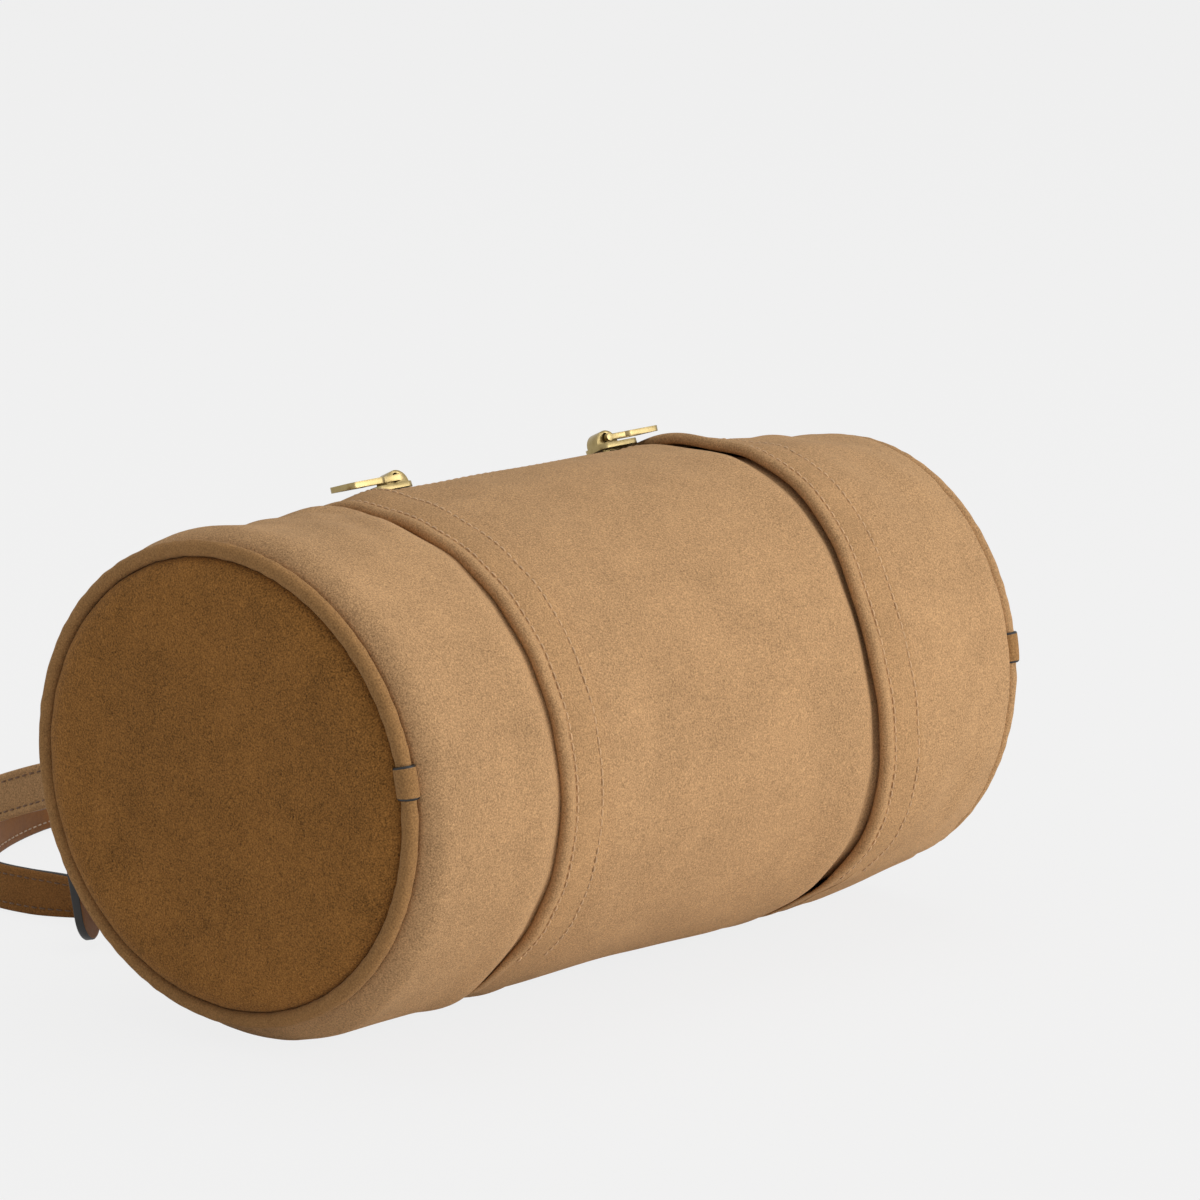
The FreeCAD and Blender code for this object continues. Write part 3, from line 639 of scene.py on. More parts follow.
def surface_frame(turn, height):
    # Point on the plain barrel or above it, with the directions round it and outwards
    wide, tall = HALF_WIDTH + height, HALF_HEIGHT + height
    tilt = atan2(tall * sin(turn), wide * cos(turn))
    origin = np.array([0.0, wide * sin(turn), AXIS_HEIGHT + tall * cos(turn)])
    outward = np.array([0.0, sin(tilt), cos(tilt)])
    round_way = np.array([0.0, cos(tilt), -sin(tilt)])
    return origin, round_way, outward


# Barrel pieces


# Turned-in edge of an end panel behind the piping, as depths and drops; the centre panel's half length; and
# its zip seams' overrun, distance from the slot and sinking in
PANEL_TUCK = ((2.2, 4.2), (2.35, 2.8), (2.5, 1.7))
CENTRE_REACH = 59.8
ZIP_SEAM_OVERRUN, ZIP_SEAM_GAP, ZIP_SEAM_SINK = 1.5, 2.6, 0.16
# Soft end discs, in shares of the piping line's size: where the seen face ends and begins to turn in, and the
# places and depths of the fold behind it; and how far they swell
DISC_REACH, DISC_TURN = 0.968, 0.955
DISC_FOLD = ((0.972, 3.2), (0.966, 4.2))
DISC_CROWN = 5.0


def build_panel(name, verts, faces):
    obj = build(f"{name}_suede", verts, faces, [SUEDE], "bag", [name], closed=False)
    solid = obj.modifiers.new("thickness", "SOLIDIFY")
    solid.thickness = PANEL_THICKNESS * MM
    solid.offset = -1.0


def make_end_panels():
    turn = full_turn(256)
    for name, side in SIDES:
        wide = RING_SHAPES[side][0]
        rows = [end_row(side, turn, (wide + SEAM_STEP - drop) / wide, -depth) for depth, drop in PANEL_TUCK]
        reach = abs(END_PLACES[side]) - BAND_MIDDLE
        for depth in np.concatenate([np.linspace(SEAM_DEPTH + 0.3, 12, 17), np.linspace(13.2, reach, 44)]):
            rows.append(skin(END_PLACES[side] - side * depth, turn))
        faces = grid_faces(len(rows), len(turn))
        if side < 0:
            faces = flipped(faces)
        build_panel(f"{name}_panel", rows, faces)


def make_centre_panel():
    # The turn runs from one lip of the zip slot round to the other, then across the slot's ends
    lip = SLOT_HALF / ZIP_PER_TURN
    around = np.linspace(ZIP_ANGLE + lip, ZIP_ANGLE - lip + 2 * pi, 220)
    across = np.linspace(ZIP_ANGLE - lip + 2 * pi, ZIP_ANGLE + lip + 2 * pi, 8)[1:-1]
    turn = np.concatenate([around, across])
    beyond = np.linspace(SLOT_LENGTH, CENTRE_REACH, 6)
    along = np.concatenate([-beyond[::-1], np.linspace(-SLOT_LENGTH, SLOT_LENGTH, 52)[1:-1], beyond])
    rows = skin(along[:, None], turn[None, :])
    # The slot itself has no faces
    faces = []
    count = len(turn)
    for face in grid_faces(len(along), count):
        i = face[0] // count
        columns = [v % count for v in face]
        in_slot = all(c >= len(around) - 1 or c == 0 for c in columns)
        middle = (along[i] + along[i + 1]) / 2
        if not in_slot or abs(middle) >= SLOT_LENGTH:
            faces.append(face)
    used = sorted({v for f in faces for v in f})
    index = {v: k for k, v in enumerate(used)}
    verts = rows.reshape(-1, 3)[used]
    faces = flipped([index[v] for v in face] for face in faces)
    build_panel("centre_panel", verts, faces)
    seams = Stitches()
    run = np.linspace(-1, 1, 90) * (SLOT_LENGTH + ZIP_SEAM_OVERRUN)
    for hand in (-1, 1):
        angle = ZIP_ANGLE + hand * (lip + ZIP_SEAM_GAP / ZIP_PER_TURN)
        _, _, outward = surface_frame(angle, 0)
        seams.line(skin(run, angle) - outward * ZIP_SEAM_SINK, np.tile(outward, (len(run), 1)), radius=0.24)
    seams.finish("zip_seam_stitches", THREAD_TONE_AND_LIT, "bag", "suede")


def make_discs():
    turn = full_turn(192)
    for name, side in SIDES:
        rows = []
        for share in np.concatenate([np.linspace(0.02, 0.8, 22), np.linspace(0.82, DISC_REACH, 22)]):
            crown = DISC_CROWN * (1 - (share / DISC_FOLD[0][0]) ** 20)
            edge = -1.0 * np.clip((share - DISC_TURN) / (DISC_REACH - DISC_TURN), 0, 1) ** 2
            soft = 0.35 * ripple(share * 60.0 * np.cos(turn), share, 31, 7, (0.03, 0.1), (1, 4))
            soft = soft + 0.3 * ripple(share * 60.0 * np.sin(turn), share, 37, 7, (0.03, 0.1), (1, 4))
            tuck = 0.22 * np.exp(-(DISC_REACH - share) / 0.05) * round_ripple(turn, 41, 8, (14, 36))
            rows.append(end_row(side, turn, share, crown + edge + soft * (1 - share ** 4) + tuck - 0.2))
        # The edge folds in behind the piping
        rows += [end_row(side, turn, share, -back) for share, back in DISC_FOLD]
        faces = grid_faces(len(rows), len(turn))
        verts = list(np.array(rows).reshape(-1, 3))
        hub = len(verts)
        verts.append(np.mean(rows[0], axis=0))
        faces += [(hub, (k + 1) % len(turn), k) for k in range(len(turn))]
        if side > 0:
            faces = flipped(faces)
        # Both discs take the darker end suede, which is painted shade
        build(f"{name}_end_suede", verts, faces, [SUEDE_END_SHADE], "bag", [f"{name}_end_panel"],
              closed=False)


def make_boards():
    # Stiff discs behind the end panels, leaning with them
    outline = ((0.05, 4.4), (0.88, 4.4), (0.895, 4.6), (0.9, 5.0), (0.895, 5.6), (0.88, 5.8), (0.05, 5.8))
    turn = full_turn(128)
    for name, side in SIDES:
        rows = [end_row(side, turn, share, -back) for share, back in outline]
        build_sweep(f"{name}_end_board_disc", rows, [BOARD], "bag", [f"{name}_end_board"])


def piping_sections(side, turn, radius, profile_turns):
    centre = end_row(side, turn, 1.0, 0.0)
    out = centre - np.array([0, 0, RING_SHAPES[side][2]])
    out[:, 0] = 0
    out = out / np.linalg.norm(out, axis=1)[:, None]
    radius = np.broadcast_to(np.asarray(radius)[:, None], (len(turn), len(profile_turns)))[:, :, None]
    step = out[:, None, :] * (np.cos(profile_turns)[None, :, None] * radius)
    step = step + X_AXIS * side * (np.sin(profile_turns)[None, :, None] * radius)
    return centre[:, None, :] + step


# Leather sleeve over each piping's joint: the turn that it covers, places along it and radii there
SLEEVE_TURN = 8.5 / 61.0
SLEEVE_PLACES = np.array([-1.0, -0.95, -0.86, -0.6, -0.2, 0.2, 0.6, 0.86, 0.95, 1.0])
SLEEVE_RADII = np.array([2.62, 2.86, 2.95, 2.98, 3.0, 3.0, 2.98, 2.95, 2.86, 2.62])
SLEEVE_INSIDE = 2.3
SLEEVE_ANGLE = -radians(80.0)


def make_piping():
    for name, side in SIDES:
        turn = full_turn(360)
        lumps = PIPING_RADIUS + 0.07 * round_ripple(turn, 51, 10, (20, 90))
        sections = piping_sections(side, turn, lumps, full_turn(18))
        # The near piping gets the darker suede as painted shade, the far piping the plain trim suede
        material = SUEDE_CORD_SHADE_AND_TONE if side < 0 else SUEDE_TRIM
        build_sweep(f"{name}_piping_suede", sections, [material], "bag", [f"{name}_piping"],
                    wrap_path=True)
        turn = SLEEVE_ANGLE + SLEEVE_TURN / 2 * SLEEVE_PLACES
        opening = np.radians(np.linspace(-112, 150, 22))
        outer = piping_sections(side, turn, SLEEVE_RADII, opening)
        inner = piping_sections(side, turn, np.full(len(turn), SLEEVE_INSIDE), opening)
        sections = np.concatenate([outer, inner[:, ::-1]], axis=1)
        # Both cut ends are painted
        build_sweep(f"{name}_piping_sleeve", sections, [SUEDE_CORD_SHADE_AND_TONE, EDGE], "bag", [f"{name}_piping_wrap"],
                    lambda rows, columns: len(rows) == 1 or rows <= {0, 1, 2} or rows <= {7, 8, 9})


BAND_PROFILE = np.array((
    (-8.1, -0.5), (-8.4, 0.3), (-8.4, 1.05), (-8.1, 1.75), (-7.5, 2.25), (-6.7, 2.42), (-5.9, 2.26),
    (-5.3, 1.86), (-4.8, 1.52), (-4.45, 1.42), (-4.1, 1.38), (-3.8, 1.37), (-3.5, 1.41), (-2.9, 1.54),
    (-1.5, 1.68), (1.0, 1.74), (3.5, 1.68), (4.7, 1.57), (5.15, 1.44), (5.5, 1.35), (5.85, 1.38),
    (6.5, 1.38), (7.2, 1.36), (7.8, 1.18), (8.2, 0.8), (8.32, 0.3), (8.2, -0.4), (4.0, -0.5),
    (0.0, -0.5), (-4.0, -0.5)))
BAND_SEAMS = (-3.8, 5.5)
BAND_STITCH_HEIGHT = 1.36
BAND_STITCH_TURNS = (radians(-137), radians(168))


def make_bands():
    turn = np.linspace(-pi, pi, 420, endpoint=False)
    slope = barrel_slope(turn)
    outward = np.stack([np.zeros(len(turn)), np.sin(slope), np.cos(slope)], axis=-1)
    keep = (turn > BAND_STITCH_TURNS[0]) & (turn < BAND_STITCH_TURNS[1])
    across, height = BAND_PROFILE.T
    top = height > 0.5
    # The leather puffs up between the stitches of both seams
    puffs = int(round(2 * pi * 66.5 / STITCH_PITCH))
    beside_seam = np.min([np.abs(across - place) for place in BAND_SEAMS], axis=0)
    puff = 0.10 * np.exp(-((beside_seam - 0.9) / 0.5) ** 2) * np.cos(puffs * turn)[:, None] * top
    soft = 0.08 * round_ripple(turn, 67, 9, (8, 40))[:, None] * top
    for name, side in SIDES:
        sway = 0.18 * round_ripple(turn + 0.4 * side, 61, 6, (2, 9))
        points = band_point(side, across + sway[:, None], turn[:, None], height + soft + puff)
        build_sweep(f"{name}_band_suede", points, [SUEDE_TRIM], "bag", [f"{name}_band"],
                    wrap_path=True)
        threads = Stitches()
        for place in BAND_SEAMS:
            line = band_point(side, place + sway, turn, BAND_STITCH_HEIGHT)
            threads.line(line[keep], outward[keep], length=2.3, radius=0.34)
        threads.finish(f"{name}_band_stitches", THREAD_TONE_AND_LIT, "bag", "suede")


LINING_INSET = 4.4
LINING_SLOT = (10.5, 50.0)


def make_lining():
    turn = full_turn(120)
    along = np.linspace(-97.0, 97.0, 60)
    folds = 0.35 * ripple(along[:, None], turn[None, :], 71, 10, (0.02, 0.1), (3, 16))
    rows = skin(along[:, None], turn[None, :], LINING_INSET, uneven=False)
    outward = rows - np.array([0.0, 0.0, AXIS_HEIGHT])
    outward[..., 0] = 0
    outward = outward / np.linalg.norm(outward, axis=-1)[..., None]
    rows = rows - outward * np.clip(folds, 0, 1)[..., None]
    faces = []
    for face in grid_faces(len(along), len(turn)):
        i, j = divmod(face[0], len(turn))
        gap = abs(half_way(turn[j] + pi / len(turn) - ZIP_ANGLE)) * ZIP_PER_TURN
        if gap >= LINING_SLOT[0] or abs(along[i]) >= LINING_SLOT[1]:
            faces.append(face)
    for row, end in ((0, -1), (len(along) - 1, 1)):
        faces.append(tuple(range(row * len(turn), (row + 1) * len(turn)))[::-end])
    build("lining_cloth", rows, faces, [CLOTH], "bag", ["lining"], closed=False)


# Zip: outlines in its own frame, across it and outwards


ZIP_ORIGIN, ZIP_ROUND, ZIP_OUT = surface_frame(ZIP_ANGLE, 0)
TAPE_TOP = ((1.8, -0.15), (3.0, -0.85), (4.2, -1.7), (5.4, -2.5), (7.4, -2.42), (9.5, -2.35))
TAPE_THICKNESS = 0.7
TAPE_LENGTH = 50.8
TOOTH_OUTLINE = ((-0.6, -1.6), (-0.3, -1.9), (0.3, -1.9), (0.6, -1.6),
                 (0.6, 0.55), (0.38, 0.86), (-0.38, 0.86), (-0.6, 0.55))
TOOTH_ROWS = ((1.85, 0.9), (1.2, 1.0), (0.72, 0.95), (0.5, 0.7))
TOOTH_MIDDLE = -0.5
TOOTH_PITCH = 2.4
TOOTH_COUNT = 41
CORD_OUTLINE = ((1.3, -1.0), (1.3, 0.05), (1.55, 0.25), (1.85, 0.05), (1.85, -1.0), (1.55, -1.2))
CORD_LENGTH = 49.2


def zip_point(x, y, z):
    return ZIP_ORIGIN + X_AXIS * x + ZIP_ROUND * y + ZIP_OUT * z


def make_zip():
    tape = TAPE_TOP + tuple((y, z - TAPE_THICKNESS) for y, z in reversed(TAPE_TOP))
    for name, hand in (("front", -1), ("back", 1)):
        sections = [[zip_point(x, hand * y, z + 0.05 * sin(0.35 * x + y)) for y, z in tape]
                    for x in np.linspace(-TAPE_LENGTH, TAPE_LENGTH, 70)]
        build_sweep(f"zip_tape_{name}_weave", sections, [TAPE], "bag", [f"zip_tape_{name}"])
        teeth = Gathered()
        for i in range(TOOTH_COUNT):
            place = TOOTH_PITCH * (i - (TOOTH_COUNT - 1) / 2 + hand / 4)
            teeth.add([[zip_point(place + x * swell, hand * y, TOOTH_MIDDLE + (z - TOOTH_MIDDLE) * swell)
                        for x, z in TOOTH_OUTLINE] for y, swell in TOOTH_ROWS])
        teeth.add([[zip_point(x, hand * y, z) for y, z in CORD_OUTLINE] for x in (-CORD_LENGTH, CORD_LENGTH)])
        build(f"zip_teeth_{name}_brass", teeth.verts, teeth.faces, [BRASS], "bag",
              [f"zip_teeth_{name}"])


def refine(node, name, body, width):
    # Copy of a rigid CAD node in brass, with its hard edges softened
    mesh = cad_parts[node].data.copy()
    mesh.name = name
    bm = bmesh.new()
    bm.from_mesh(mesh)
    bmesh.ops.remove_doubles(bm, verts=bm.verts, dist=1e-6)
    bmesh.ops.dissolve_limit(bm, angle_limit=radians(1.5), verts=bm.verts, edges=bm.edges)
    hard = [e for e in bm.edges if len(e.link_faces) == 2 and e.calc_face_angle(0.0) > radians(38)]
    bmesh.ops.bevel(bm, geom=hard, offset=width * MM, offset_type="OFFSET", segments=2, profile=0.6,
                    affect="EDGES", clamp_overlap=True)
    bmesh.ops.recalc_face_normals(bm, faces=bm.faces)
    bm.to_mesh(mesh)
    bm.free()
    mesh.materials.clear()
    mesh.materials.append(BRASS)
    mesh.polygons.foreach_set("use_smooth", [True] * len(mesh.polygons))
    mesh.polygons.foreach_set("material_index", [0] * len(mesh.polygons))
    mesh.set_sharp_from_angle(angle=radians(32))
    add_object(name, mesh, body, [node])


def make_hardware():
    for name, _ in SIDES:
        refine(f"{name}_slider", f"{name}_slider_brass", f"{name}_slider", 0.28)
        refine(f"{name}_puller", f"{name}_puller_brass", f"{name}_puller", 0.22)
        refine(f"zip_stop_{name}", f"zip_stop_{name}_brass", "bag", 0.25)


# Handles


def handle_frame(handle):
    # Hinge line of a handle, with the directions along its plane and square to it
    origin, _, outward = surface_frame(HANDLE_ANGLES[handle], BAND_HEIGHT)
    origin = origin + outward * TUNNEL_HEIGHT
    slope = asin((origin[2] - STRAP_HALF - STRAP_GAP) / HANDLE_REACH)
    along = np.array([0.0, cos(slope), -sin(slope)])
    square = np.array([0.0, sin(slope), cos(slope)])
    return origin, along, square


def handle_point(handle, x, u, n):
    origin, along, square = handle_frame(handle)
    return origin + X_AXIS * x + along * u + square * n


def leg_station(run):
    # Place, heading and outward side of a handle's near leg, as (x, u) in the handle's plane
    turn = min(max((run - ROOT_END) / LEG_BEND, 0.0), SPLAY)
    rest = max(run - ROOT_END - LEG_BEND * SPLAY, 0.0)
    heading = np.array([-sin(turn), cos(turn)])
    away = np.array([-cos(turn), -sin(turn)])
    aside = BAND_MIDDLE + LEG_BEND * (1 - cos(turn))
    out = min(run, ROOT_END) + LEG_BEND * sin(turn)
    return np.array([-aside, out]) + heading * rest, heading, away


def strap_frames(handle, suede_side):
    # Points along a handle with the directions across it and towards its suede face
    leg = LEG_END - STRAP_START
    total = 2 * leg + BIGHT_RADIUS * (pi + 2 * SPLAY)
    _, out, square = handle_frame(handle)
    frames = []
    for run in np.linspace(0, total, int(total / STRAP_STEP)):
        reach = LEG_END
        if run <= leg or run >= total - leg:
            hand = 1 if run <= leg else -1
            reach = STRAP_START + (run if hand > 0 else total - run)
            (x, u), heading, away = leg_station(reach)
            x, heading, away = x * hand, heading * (1, hand), away * (hand, 1)
        else:
            turn = (run - leg) / BIGHT_RADIUS - SPLAY
            away = np.array([-cos(turn), sin(turn)])
            heading = np.array([sin(turn), cos(turn)])
            x, u = np.array([0.0, BIGHT_MIDDLE]) + away * BIGHT_RADIUS
        twist = pi / 2 * eased((reach - TWIST_START) / (LEG_END - TWIST_START))
        heading = X_AXIS * heading[0] + out * heading[1]
        away = X_AXIS * away[0] + out * away[1]
        depth = square * suede_side * cos(twist) + away * sin(twist)
        across = np.cross(heading, depth)
        # The soft loop lies a little short and wide, and settles towards the floor away from its roots
        point = handle_point(handle, x, u, 0)
        point[1] -= SHORTENING * eased((u - SHORT_START) / (SHORT_END - SHORT_START))
        point[0] *= 1 + SPREADS[handle] * eased((u - SPREAD_START) / SPREAD_LENGTH)
        below = SOFT_HALF * abs(across[2]) + SOFT_DEPTH * abs(depth[2])
        clear = max(point[2] - below - STRAP_GAP, 0.0)
        start, length, most = SAGS[handle]
        point[2] -= min(most, clear) * eased((u - start) / length)
        frames.append((point, across, depth))
    return frames


SUEDE_HALF = [(-6.25, 0.06), (-6.42, 0.45), (-6.40, 0.95), (-6.1, 1.38), (-5.6, 1.55), (-5.0, 1.52),
              (-4.45, 1.30), (-4.15, 1.12), (-3.85, 1.18), (-3.0, 1.34), (-1.5, 1.44)]
SUEDE_PROFILE = SUEDE_HALF + [(0.0, 1.46)] + mirrored(SUEDE_HALF) + [(3.0, 0.04), (0.0, 0.04), (-3.0, 0.04)]
LINING_HALF = [(-6.2, -0.03), (-6.33, -0.2), (-6.36, -0.62), (-6.3, -1.05), (-6.12, -1.2), (-5.8, -1.27),
               (-4.6, -1.30), (-4.2, -1.22), (-3.8, -1.30)]
LINING_PROFILE = LINING_HALF + [(0.0, -1.33)] + mirrored(LINING_HALF) + [(0.0, -0.02)]
STRAP_SEAM = 4.15
# Stitches on each face of a strap: side and height of the face, stitch length, thread and slot
STRAP_STITCHES = {"outer": (1, 1.18, 1.9, THREAD_DARK, "suede"),
                  "inner": (-1, 1.27, 1.8, THREAD_PALE, "smooth_leather")}


def make_straps():
    # The lower handle's outer suede is painted shade, darker than the upper handle's
    for handle, suede_side, outside in (("upper", 1, SUEDE_TRIM), ("lower", -1, SUEDE_LOWER_STRAP_SHADE)):
        body = f"{handle}_handle"
        frames = strap_frames(handle, suede_side)
        # The lining's two edges, as ranges of its profile's columns, are painted
        for part, profile, material, slot, edges in (
                ("strap", SUEDE_PROFILE, outside, "suede", ()),
                ("lining", LINING_PROFILE, LEATHER, "smooth_leather", ((0, 4), (14, 18)))):
            sections = [[c + a * w + d * k for w, k in profile] for c, a, d in frames]
            build_sweep(f"{body}_{part}_strip", sections, [material, EDGE], body, [f"{body}_{part}"],
                        lambda rows, columns: len(columns) == 2 and any(
                            low <= min(columns) and max(columns) <= high for low, high in edges))
        for face, (way, height, length, colour, slot) in STRAP_STITCHES.items():
            threads = Stitches()
            ups = [d * way for _, _, d in frames]
            for place in (-STRAP_SEAM, STRAP_SEAM):
                seam = [c + a * place + up * height for (c, a, _), up in zip(frames, ups)]
                threads.line(seam, ups, pitch=2.6, length=length, radius=0.25)
            threads.finish(f"{body}_{face}_stitches", colour, body, slot)


def build_strip(name, points, normals, strip, body, replaced):
    # Flat leather strip along a path, across the barrel's length, rounded and painted along its edges
    half, thick, round_by = strip
    low, high = round_by - thick / 2, thick / 2 - round_by
    flank = half - round_by
    profile = ((-half, low), (-flank, -thick / 2), (0, -thick / 2), (flank, -thick / 2), (half, low),
               (half, high), (flank, thick / 2), (0, thick / 2), (-flank, thick / 2), (-half, high))
    sections = [[p + X_AXIS * w + n * k for w, k in profile] for p, n in zip(points, normals)]
    build_sweep(name, sections, [SUEDE_TRIM, EDGE], body, replaced,
                lambda rows, columns: columns in ({0, 9}, {4, 5}) or len(rows) == 1)


def path_normals(points):
    # Normals of a flat path in its own plane, turned a quarter left
    ahead = np.gradient(points, axis=0)
    ahead = ahead / np.linalg.norm(ahead, axis=1)[:, None]
    return np.stack([-ahead[:, 1], ahead[:, 0]], axis=1)


def seam_points(corners, steps):
    # Points along the straight sides of a seam
    return [tuple(a + (b - a) * k for a, b in zip(start, end))
            for start, end in zip(corners, corners[1:]) for k in np.linspace(0, 1, steps, endpoint=False)]


SMALL_STITCH = {"pitch": 2.4, "length": 1.75, "radius": 0.24}
# Half width, thickness and rounding of the saddles and root tabs, the radius of each one's round stretch
# and the height of its stitches
CHAPE_STRIP = (6.3, 1.35, 0.4)
CHAPE_ROUND, CHAPE_SEAM = 2.25, 1.62
TAB_STRIP = (6.45, 1.12, 0.35)
TAB_ROUND, TAB_SEAM = 2.02, 2.57
# The four roots of the handles: handle, name and place along the barrel
ROOTS = [(handle, f"{handle}_{name}", side * BAND_MIDDLE) for handle in HANDLE_ANGLES for name, side in SIDES]


def make_chapes():
    # Leather saddles on the bands, with a tunnel for the ring
    foot = [(-11.0, 0.85), (-9.0, 0.9), (-6.5, 0.9), (-4.4, 0.9), (-3.0, 1.0)]
    tunnel = [(CHAPE_ROUND * cos(a), TUNNEL_HEIGHT + CHAPE_ROUND * sin(a))
              for a in np.radians(np.linspace(212, -32, 15))]
    flat = smooth_path(foot + tunnel + mirrored(foot), 90)
    normals = path_normals(flat)
    box = seam_points([(-4.3, 4.6), (-4.3, 9.4), (4.3, 9.4), (4.3, 4.6), (-4.3, 4.6)], 6)
    wide, tall = HALF_WIDTH + BAND_HEIGHT, HALF_HEIGHT + BAND_HEIGHT
    for handle, root, middle in ROOTS:
        turn = HANDLE_ANGLES[handle]
        per_turn = hypot(wide * cos(turn), tall * sin(turn))

        def place(x, s, h):
            origin, round_way, outward = surface_frame(turn + s / per_turn, BAND_HEIGHT)
            return origin + outward * h + X_AXIS * x, round_way, outward

        line = []
        ups = []
        for (s, h), (ns, nh) in zip(flat, normals):
            point, round_way, outward = place(middle, s, h)
            line.append(point)
            ups.append(round_way * ns + outward * nh)
        build_strip(f"{root}_chape_leather", line, ups, CHAPE_STRIP, "bag", [f"{root}_chape"])
        threads = Stitches()
        for hand in (-1, 1):
            points, _, outs = zip(*(place(middle + x, hand * s, CHAPE_SEAM) for x, s in box))
            threads.line(points, outs, **SMALL_STITCH, closed=True)
        threads.finish(f"{root}_chape_stitches", THREAD_TONE_AND_LIT, "bag", "suede")


def make_rings():
    flat = []
    for along, out, start in ((1, 1, 0), (-1, 1, 90), (-1, -1, 180), (1, -1, 270)):
        for turn in np.radians(np.linspace(start, start + 90, 12)):
            x = along * (RING_HALF - RING_CORNER) + RING_CORNER * cos(turn)
            u = RING_HEIGHT / 2 + out * (RING_HEIGHT / 2 - RING_CORNER) + RING_CORNER * sin(turn)
            flat.append((x, u, cos(turn), sin(turn)))
    for handle, root, middle in ROOTS:
        _, along, square = handle_frame(handle)
        sections = []
        for x, u, out_x, out_u in flat:
            centre = handle_point(handle, middle + x, u, 0)
            out = X_AXIS * out_x + along * out_u
            sections.append([centre + (out * cos(t) + square * sin(t)) * RING_WIRE
                             for t in full_turn(20)])
        build_sweep(f"{root}_ring_brass", sections, [BRASS], f"{handle}_handle", [f"{root}_ring"],
                    wrap_path=True)


def make_root_tabs():
    # Leather folded round the ring, over both faces of the strap's end
    leaf = [(23.0, 1.98), (20.0, 2.0), (16.0, TAB_ROUND), (12.5, TAB_ROUND)]
    fold = [(RING_HEIGHT + TAB_ROUND * cos(a), TAB_ROUND * sin(a))
            for a in np.radians(np.linspace(90, 270, 13))]
    flat = smooth_path(leaf + fold + [(u, -n) for u, n in reversed(leaf)], 80)
    normals = path_normals(flat)
    box = seam_points([(-4.4, 14.4), (-4.4, 21.4), (4.4, 21.4), (4.4, 14.4)], 8)
    for handle, root, middle in ROOTS:
        _, along, square = handle_frame(handle)
        line = [handle_point(handle, middle, u, n) for u, n in flat]
        ups = [along * nu + square * nn for nu, nn in normals]
        build_strip(f"{root}_root_leather", line, ups, TAB_STRIP, f"{handle}_handle", [f"{root}_root_tab"])
        threads = Stitches()
        for hand in (-1, 1):
            seam = [handle_point(handle, middle + x, u, hand * TAB_SEAM) for x, u in box]
            threads.line(seam, [square * hand] * len(seam), **SMALL_STITCH)
        threads.finish(f"{root}_root_stitches", THREAD_TONE_AND_LIT, f"{handle}_handle", "suede")


# Hang tag: where its lace crosses the strap, the lace's slant, offset, thickness and slack round the strap,
# where the tag hangs on it, how far aside and below, the tag's lean and turn, and its half width, length, top
# above its hole, corner and hole


LACE_RUN = 28.0
LACE_TURN = radians(30.0)
LACE_OFFSET = 8.0
LACE_WIRE = 0.7
LACE_SLACK = 0.7
TAG_LOW = radians(45.0)
TAG_ASIDE, TAG_DROP = 13.0, 0.5
TAG_LEAN, TAG_TURN = radians(-13.0), radians(31.0)
TAG_HALF, TAG_LENGTH, TAG_TOP, TAG_CORNER, TAG_HOLE = 6.5, 27.0, 5.6, 2.5, 3.5


def tag_outline():
    straight = TAG_TOP - TAG_LENGTH + TAG_HALF
    round_end = [(TAG_HALF * cos(a), straight + TAG_HALF * sin(a))
                 for a in np.radians(np.linspace(180, 360, 41))]
    side = [(TAG_HALF, y) for y in np.linspace(straight, TAG_TOP - TAG_CORNER, 16)[1:]]
    for a in np.radians(np.linspace(0, 90, 9))[1:]:
        side.append((TAG_HALF + TAG_CORNER * (cos(a) - 1), TAG_TOP + TAG_CORNER * (sin(a) - 1)))
    return np.array(round_end + side + mirrored(side))


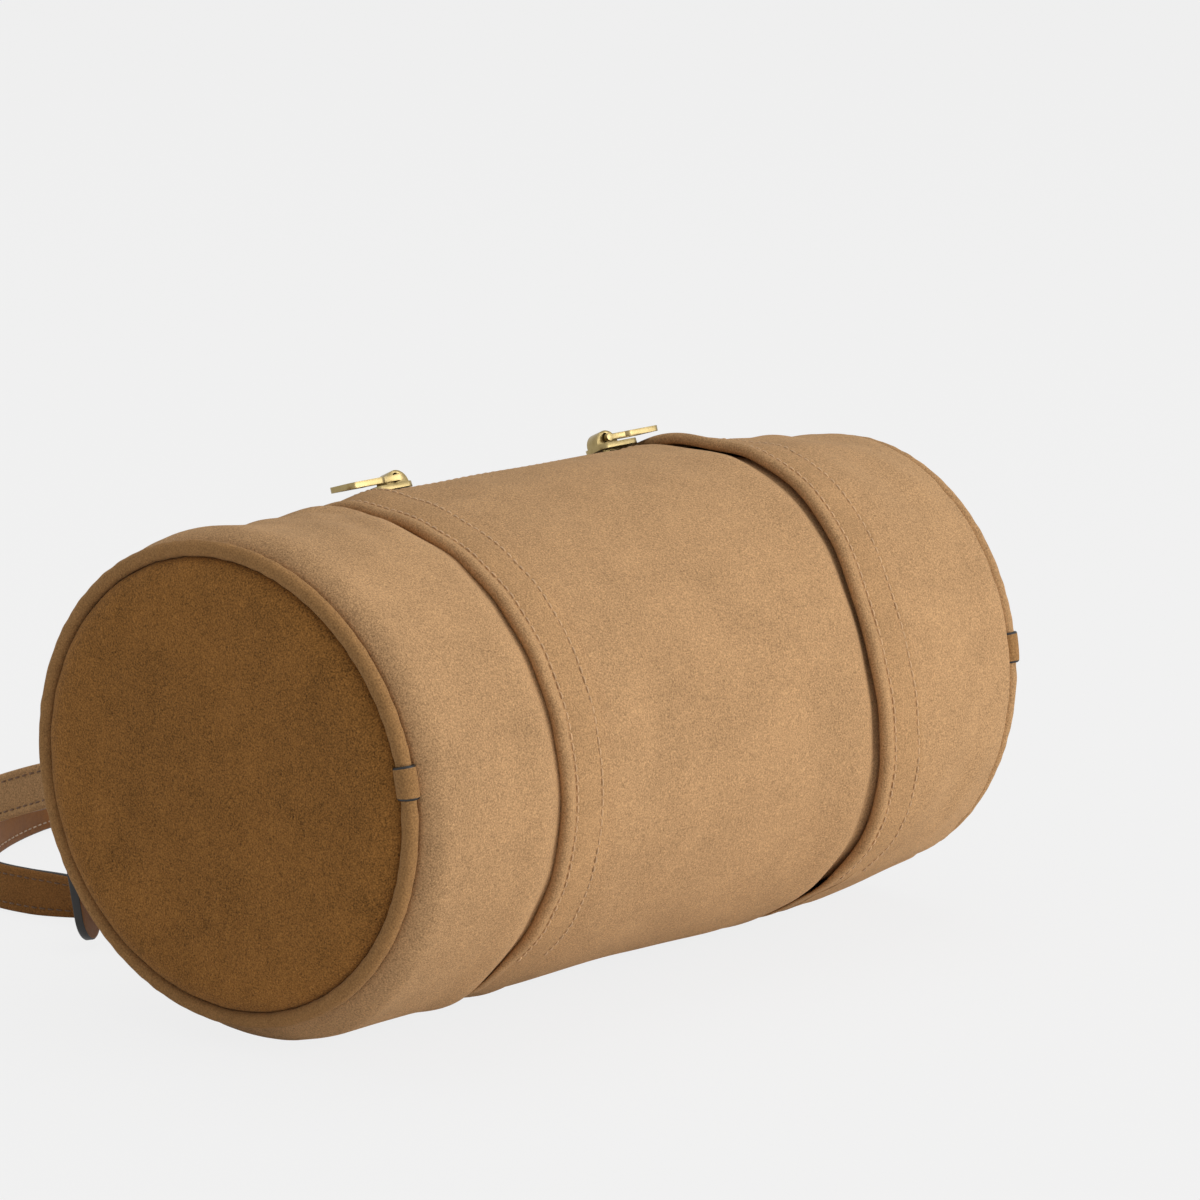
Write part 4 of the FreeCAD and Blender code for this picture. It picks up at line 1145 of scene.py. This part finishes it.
def make_tag():
    _, along, square = handle_frame("upper")
    level = X_AXIS * cos(LACE_TURN) - along * sin(LACE_TURN)
    axis = X_AXIS * sin(LACE_TURN) + along * cos(LACE_TURN)
    (x, u), _, _ = leg_station(LACE_RUN)
    centre = handle_point("upper", x, u, 0) - level * LACE_OFFSET - square * LACE_OFFSET
    radius = hypot(STRAP_HALF / cos(LACE_TURN) + LACE_OFFSET, STRAP_DEPTH + LACE_OFFSET)
    radius = radius + LACE_SLACK + LACE_WIRE
    sections = []
    for t in full_turn(120):
        out = level * cos(t) + square * sin(t)
        aside = X_AXIS * TAG_ASIDE * ((1 - cos(t - pi / 4)) / 2) ** 1.8
        sections.append([centre - aside + out * radius + (out * cos(k) + axis * sin(k)) * LACE_WIRE
                         for k in full_turn(12)])
    build_sweep("tag_lace_leather", sections, [TAG_LEATHER], "hang_tag", ["tag_lace"],
                wrap_path=True)
    # Tag: y up along it, z through it, at its hole
    facing = Matrix.Rotation(TAG_LEAN, 3, "X") @ Matrix.Rotation(TAG_TURN, 3, "Z")
    facing = np.array(facing @ Matrix.Rotation(radians(90.0), 3, "X"))
    hang = centre - (level * cos(TAG_LOW) + square * sin(TAG_LOW)) * radius - facing[:, 1] * TAG_DROP
    hang = hang - X_AXIS * TAG_ASIDE
    outline = tag_outline()
    ring = outline / np.linalg.norm(outline, axis=1)[:, None] * TAG_HOLE
    loops = [(ring, 0.9), (ring * 1.05, 1.22)]
    loops += [(ring * 1.05 * (1 - share) + outline * 0.94 * share, 1.3) for share in (0.25, 0.5, 0.75)]
    loops += [(outline * 0.955, 1.3), (outline * 0.985, 1.2), (outline, 0.85)]
    loops += [(flat, -h) for flat, h in reversed(loops)]
    rows = [[hang + facing @ np.array([x, y, h]) for x, y in flat] for flat, h in loops]
    edges = ({6, 7}, {7, 8}, {8, 9}, {0, 15}, {0, 1}, {14, 15})
    build_sweep("hang_tag_leather", rows, [TAG_LEATHER, EDGE], "hang_tag", ["hang_tag"],
                lambda rows, columns: rows in edges, wrap_path=True)


make_end_panels()
make_centre_panel()
make_discs()
make_piping()
make_bands()
make_lining()
make_zip()
make_hardware()
make_straps()
make_chapes()
make_rings()
make_root_tabs()
make_tag()
make_boards()


# Floor, light and camera


def seen_rays(tree):
    # One for what the camera sees, straight or in metal
    rays = add_node(tree, "LightPath").outputs
    shiny = maths(tree, "MAXIMUM", rays["Is Glossy Ray"], rays["Is Transmission Ray"])
    return maths(tree, "MAXIMUM", rays["Is Camera Ray"], shiny)


def make_floor():
    mesh = bpy.data.meshes.new("floor")
    mesh.from_pydata([(-9, -9, 0), (9, -9, 0), (9, 9, 0), (-9, 9, 0)], [], [(0, 1, 2, 3)])
    floor = bpy.data.objects.new("floor", mesh)
    bpy.context.scene.collection.objects.link(floor)
    material, tree, bsdf, _ = shader("floor_paper")
    plug(tree, bsdf, {"Base Color": (0.90, 0.90, 0.90, 1.0), "Roughness": 0.9, "Specular IOR Level": 0.1})
    glow = add_node(tree, "Emission", {"Color": (0.89, 0.89, 0.89, 1.0), "Strength": 1.0})
    # The rest of the floor's own shading keeps the shadow
    share = maths(tree, "MULTIPLY", seen_rays(tree), 0.93)
    mix = add_node(tree, "MixShader",
                   {"Fac": share, 1: bsdf.outputs["BSDF"], 2: glow.outputs["Emission"]})
    plug(tree, tree.nodes["Material Output"], {"Surface": mix.outputs["Shader"]})
    mesh.materials.append(material)


def make_world():
    world = bpy.data.worlds.new("studio")
    world.use_nodes = True
    bpy.context.scene.world = world
    tree = world.node_tree
    tree.nodes.clear()
    plain = add_node(tree, "Background", {"Color": (0.871, 0.871, 0.871, 1.0), "Strength": 1.0})
    soft = add_node(tree, "Background", {"Color": (1.0, 0.985, 0.97, 1.0), "Strength": 0.46})
    mix = add_node(tree, "MixShader",
                   {"Fac": seen_rays(tree), 1: soft.outputs["Background"], 2: plain.outputs["Background"]})
    add_node(tree, "OutputWorld", {"Surface": mix.outputs["Shader"]})


LAMP_TARGET = Vector((0.0, 0.0, 0.06))


def add_lamp(name, place, width, energy):
    lamp = bpy.data.lights.new(name, "AREA")
    lamp.shape = "RECTANGLE"
    lamp.size = width
    lamp.size_y = width
    lamp.energy = energy
    obj = bpy.data.objects.new(name, lamp)
    obj.location = place
    obj.rotation_euler = (LAMP_TARGET - Vector(place)).to_track_quat("-Z", "Y").to_euler()
    bpy.context.scene.collection.objects.link(obj)


def make_camera():
    azimuth = radians(-43.85)
    elevation = radians(12.94)
    right = Vector((cos(azimuth), sin(azimuth), 0))
    level = cos(elevation)
    back = Vector((sin(azimuth) * level, -cos(azimuth) * level, sin(elevation)))
    up = back.cross(right)
    # Measured from the middle of the near piping, in its radii
    ring = Vector((END_PLACES[-1], 0, RING_SHAPES[-1][2])) * MM
    place = ring + (right * 1.5578 + up * 0.7684 + back * 24.8679) * RING_SHAPES[-1][0] * MM
    camera = bpy.data.cameras.new("camera")
    camera.sensor_width = 36.0
    camera.lens = 180.0
    camera.clip_end = 50.0
    obj = bpy.data.objects.new("camera", camera)
    obj.matrix_world = Matrix.Translation(place) @ Matrix((right, up, back)).transposed().to_4x4()
    bpy.context.scene.collection.objects.link(obj)
    bpy.context.scene.camera = obj


make_floor()
make_world()
add_lamp("key", (0.72, -1.42, 0.38), 1.1, 19.0)
add_lamp("top", (0.25, 0.1, 1.7), 1.4, 8.0)
make_camera()
bpy.context.scene.view_settings.view_transform = "Standard"
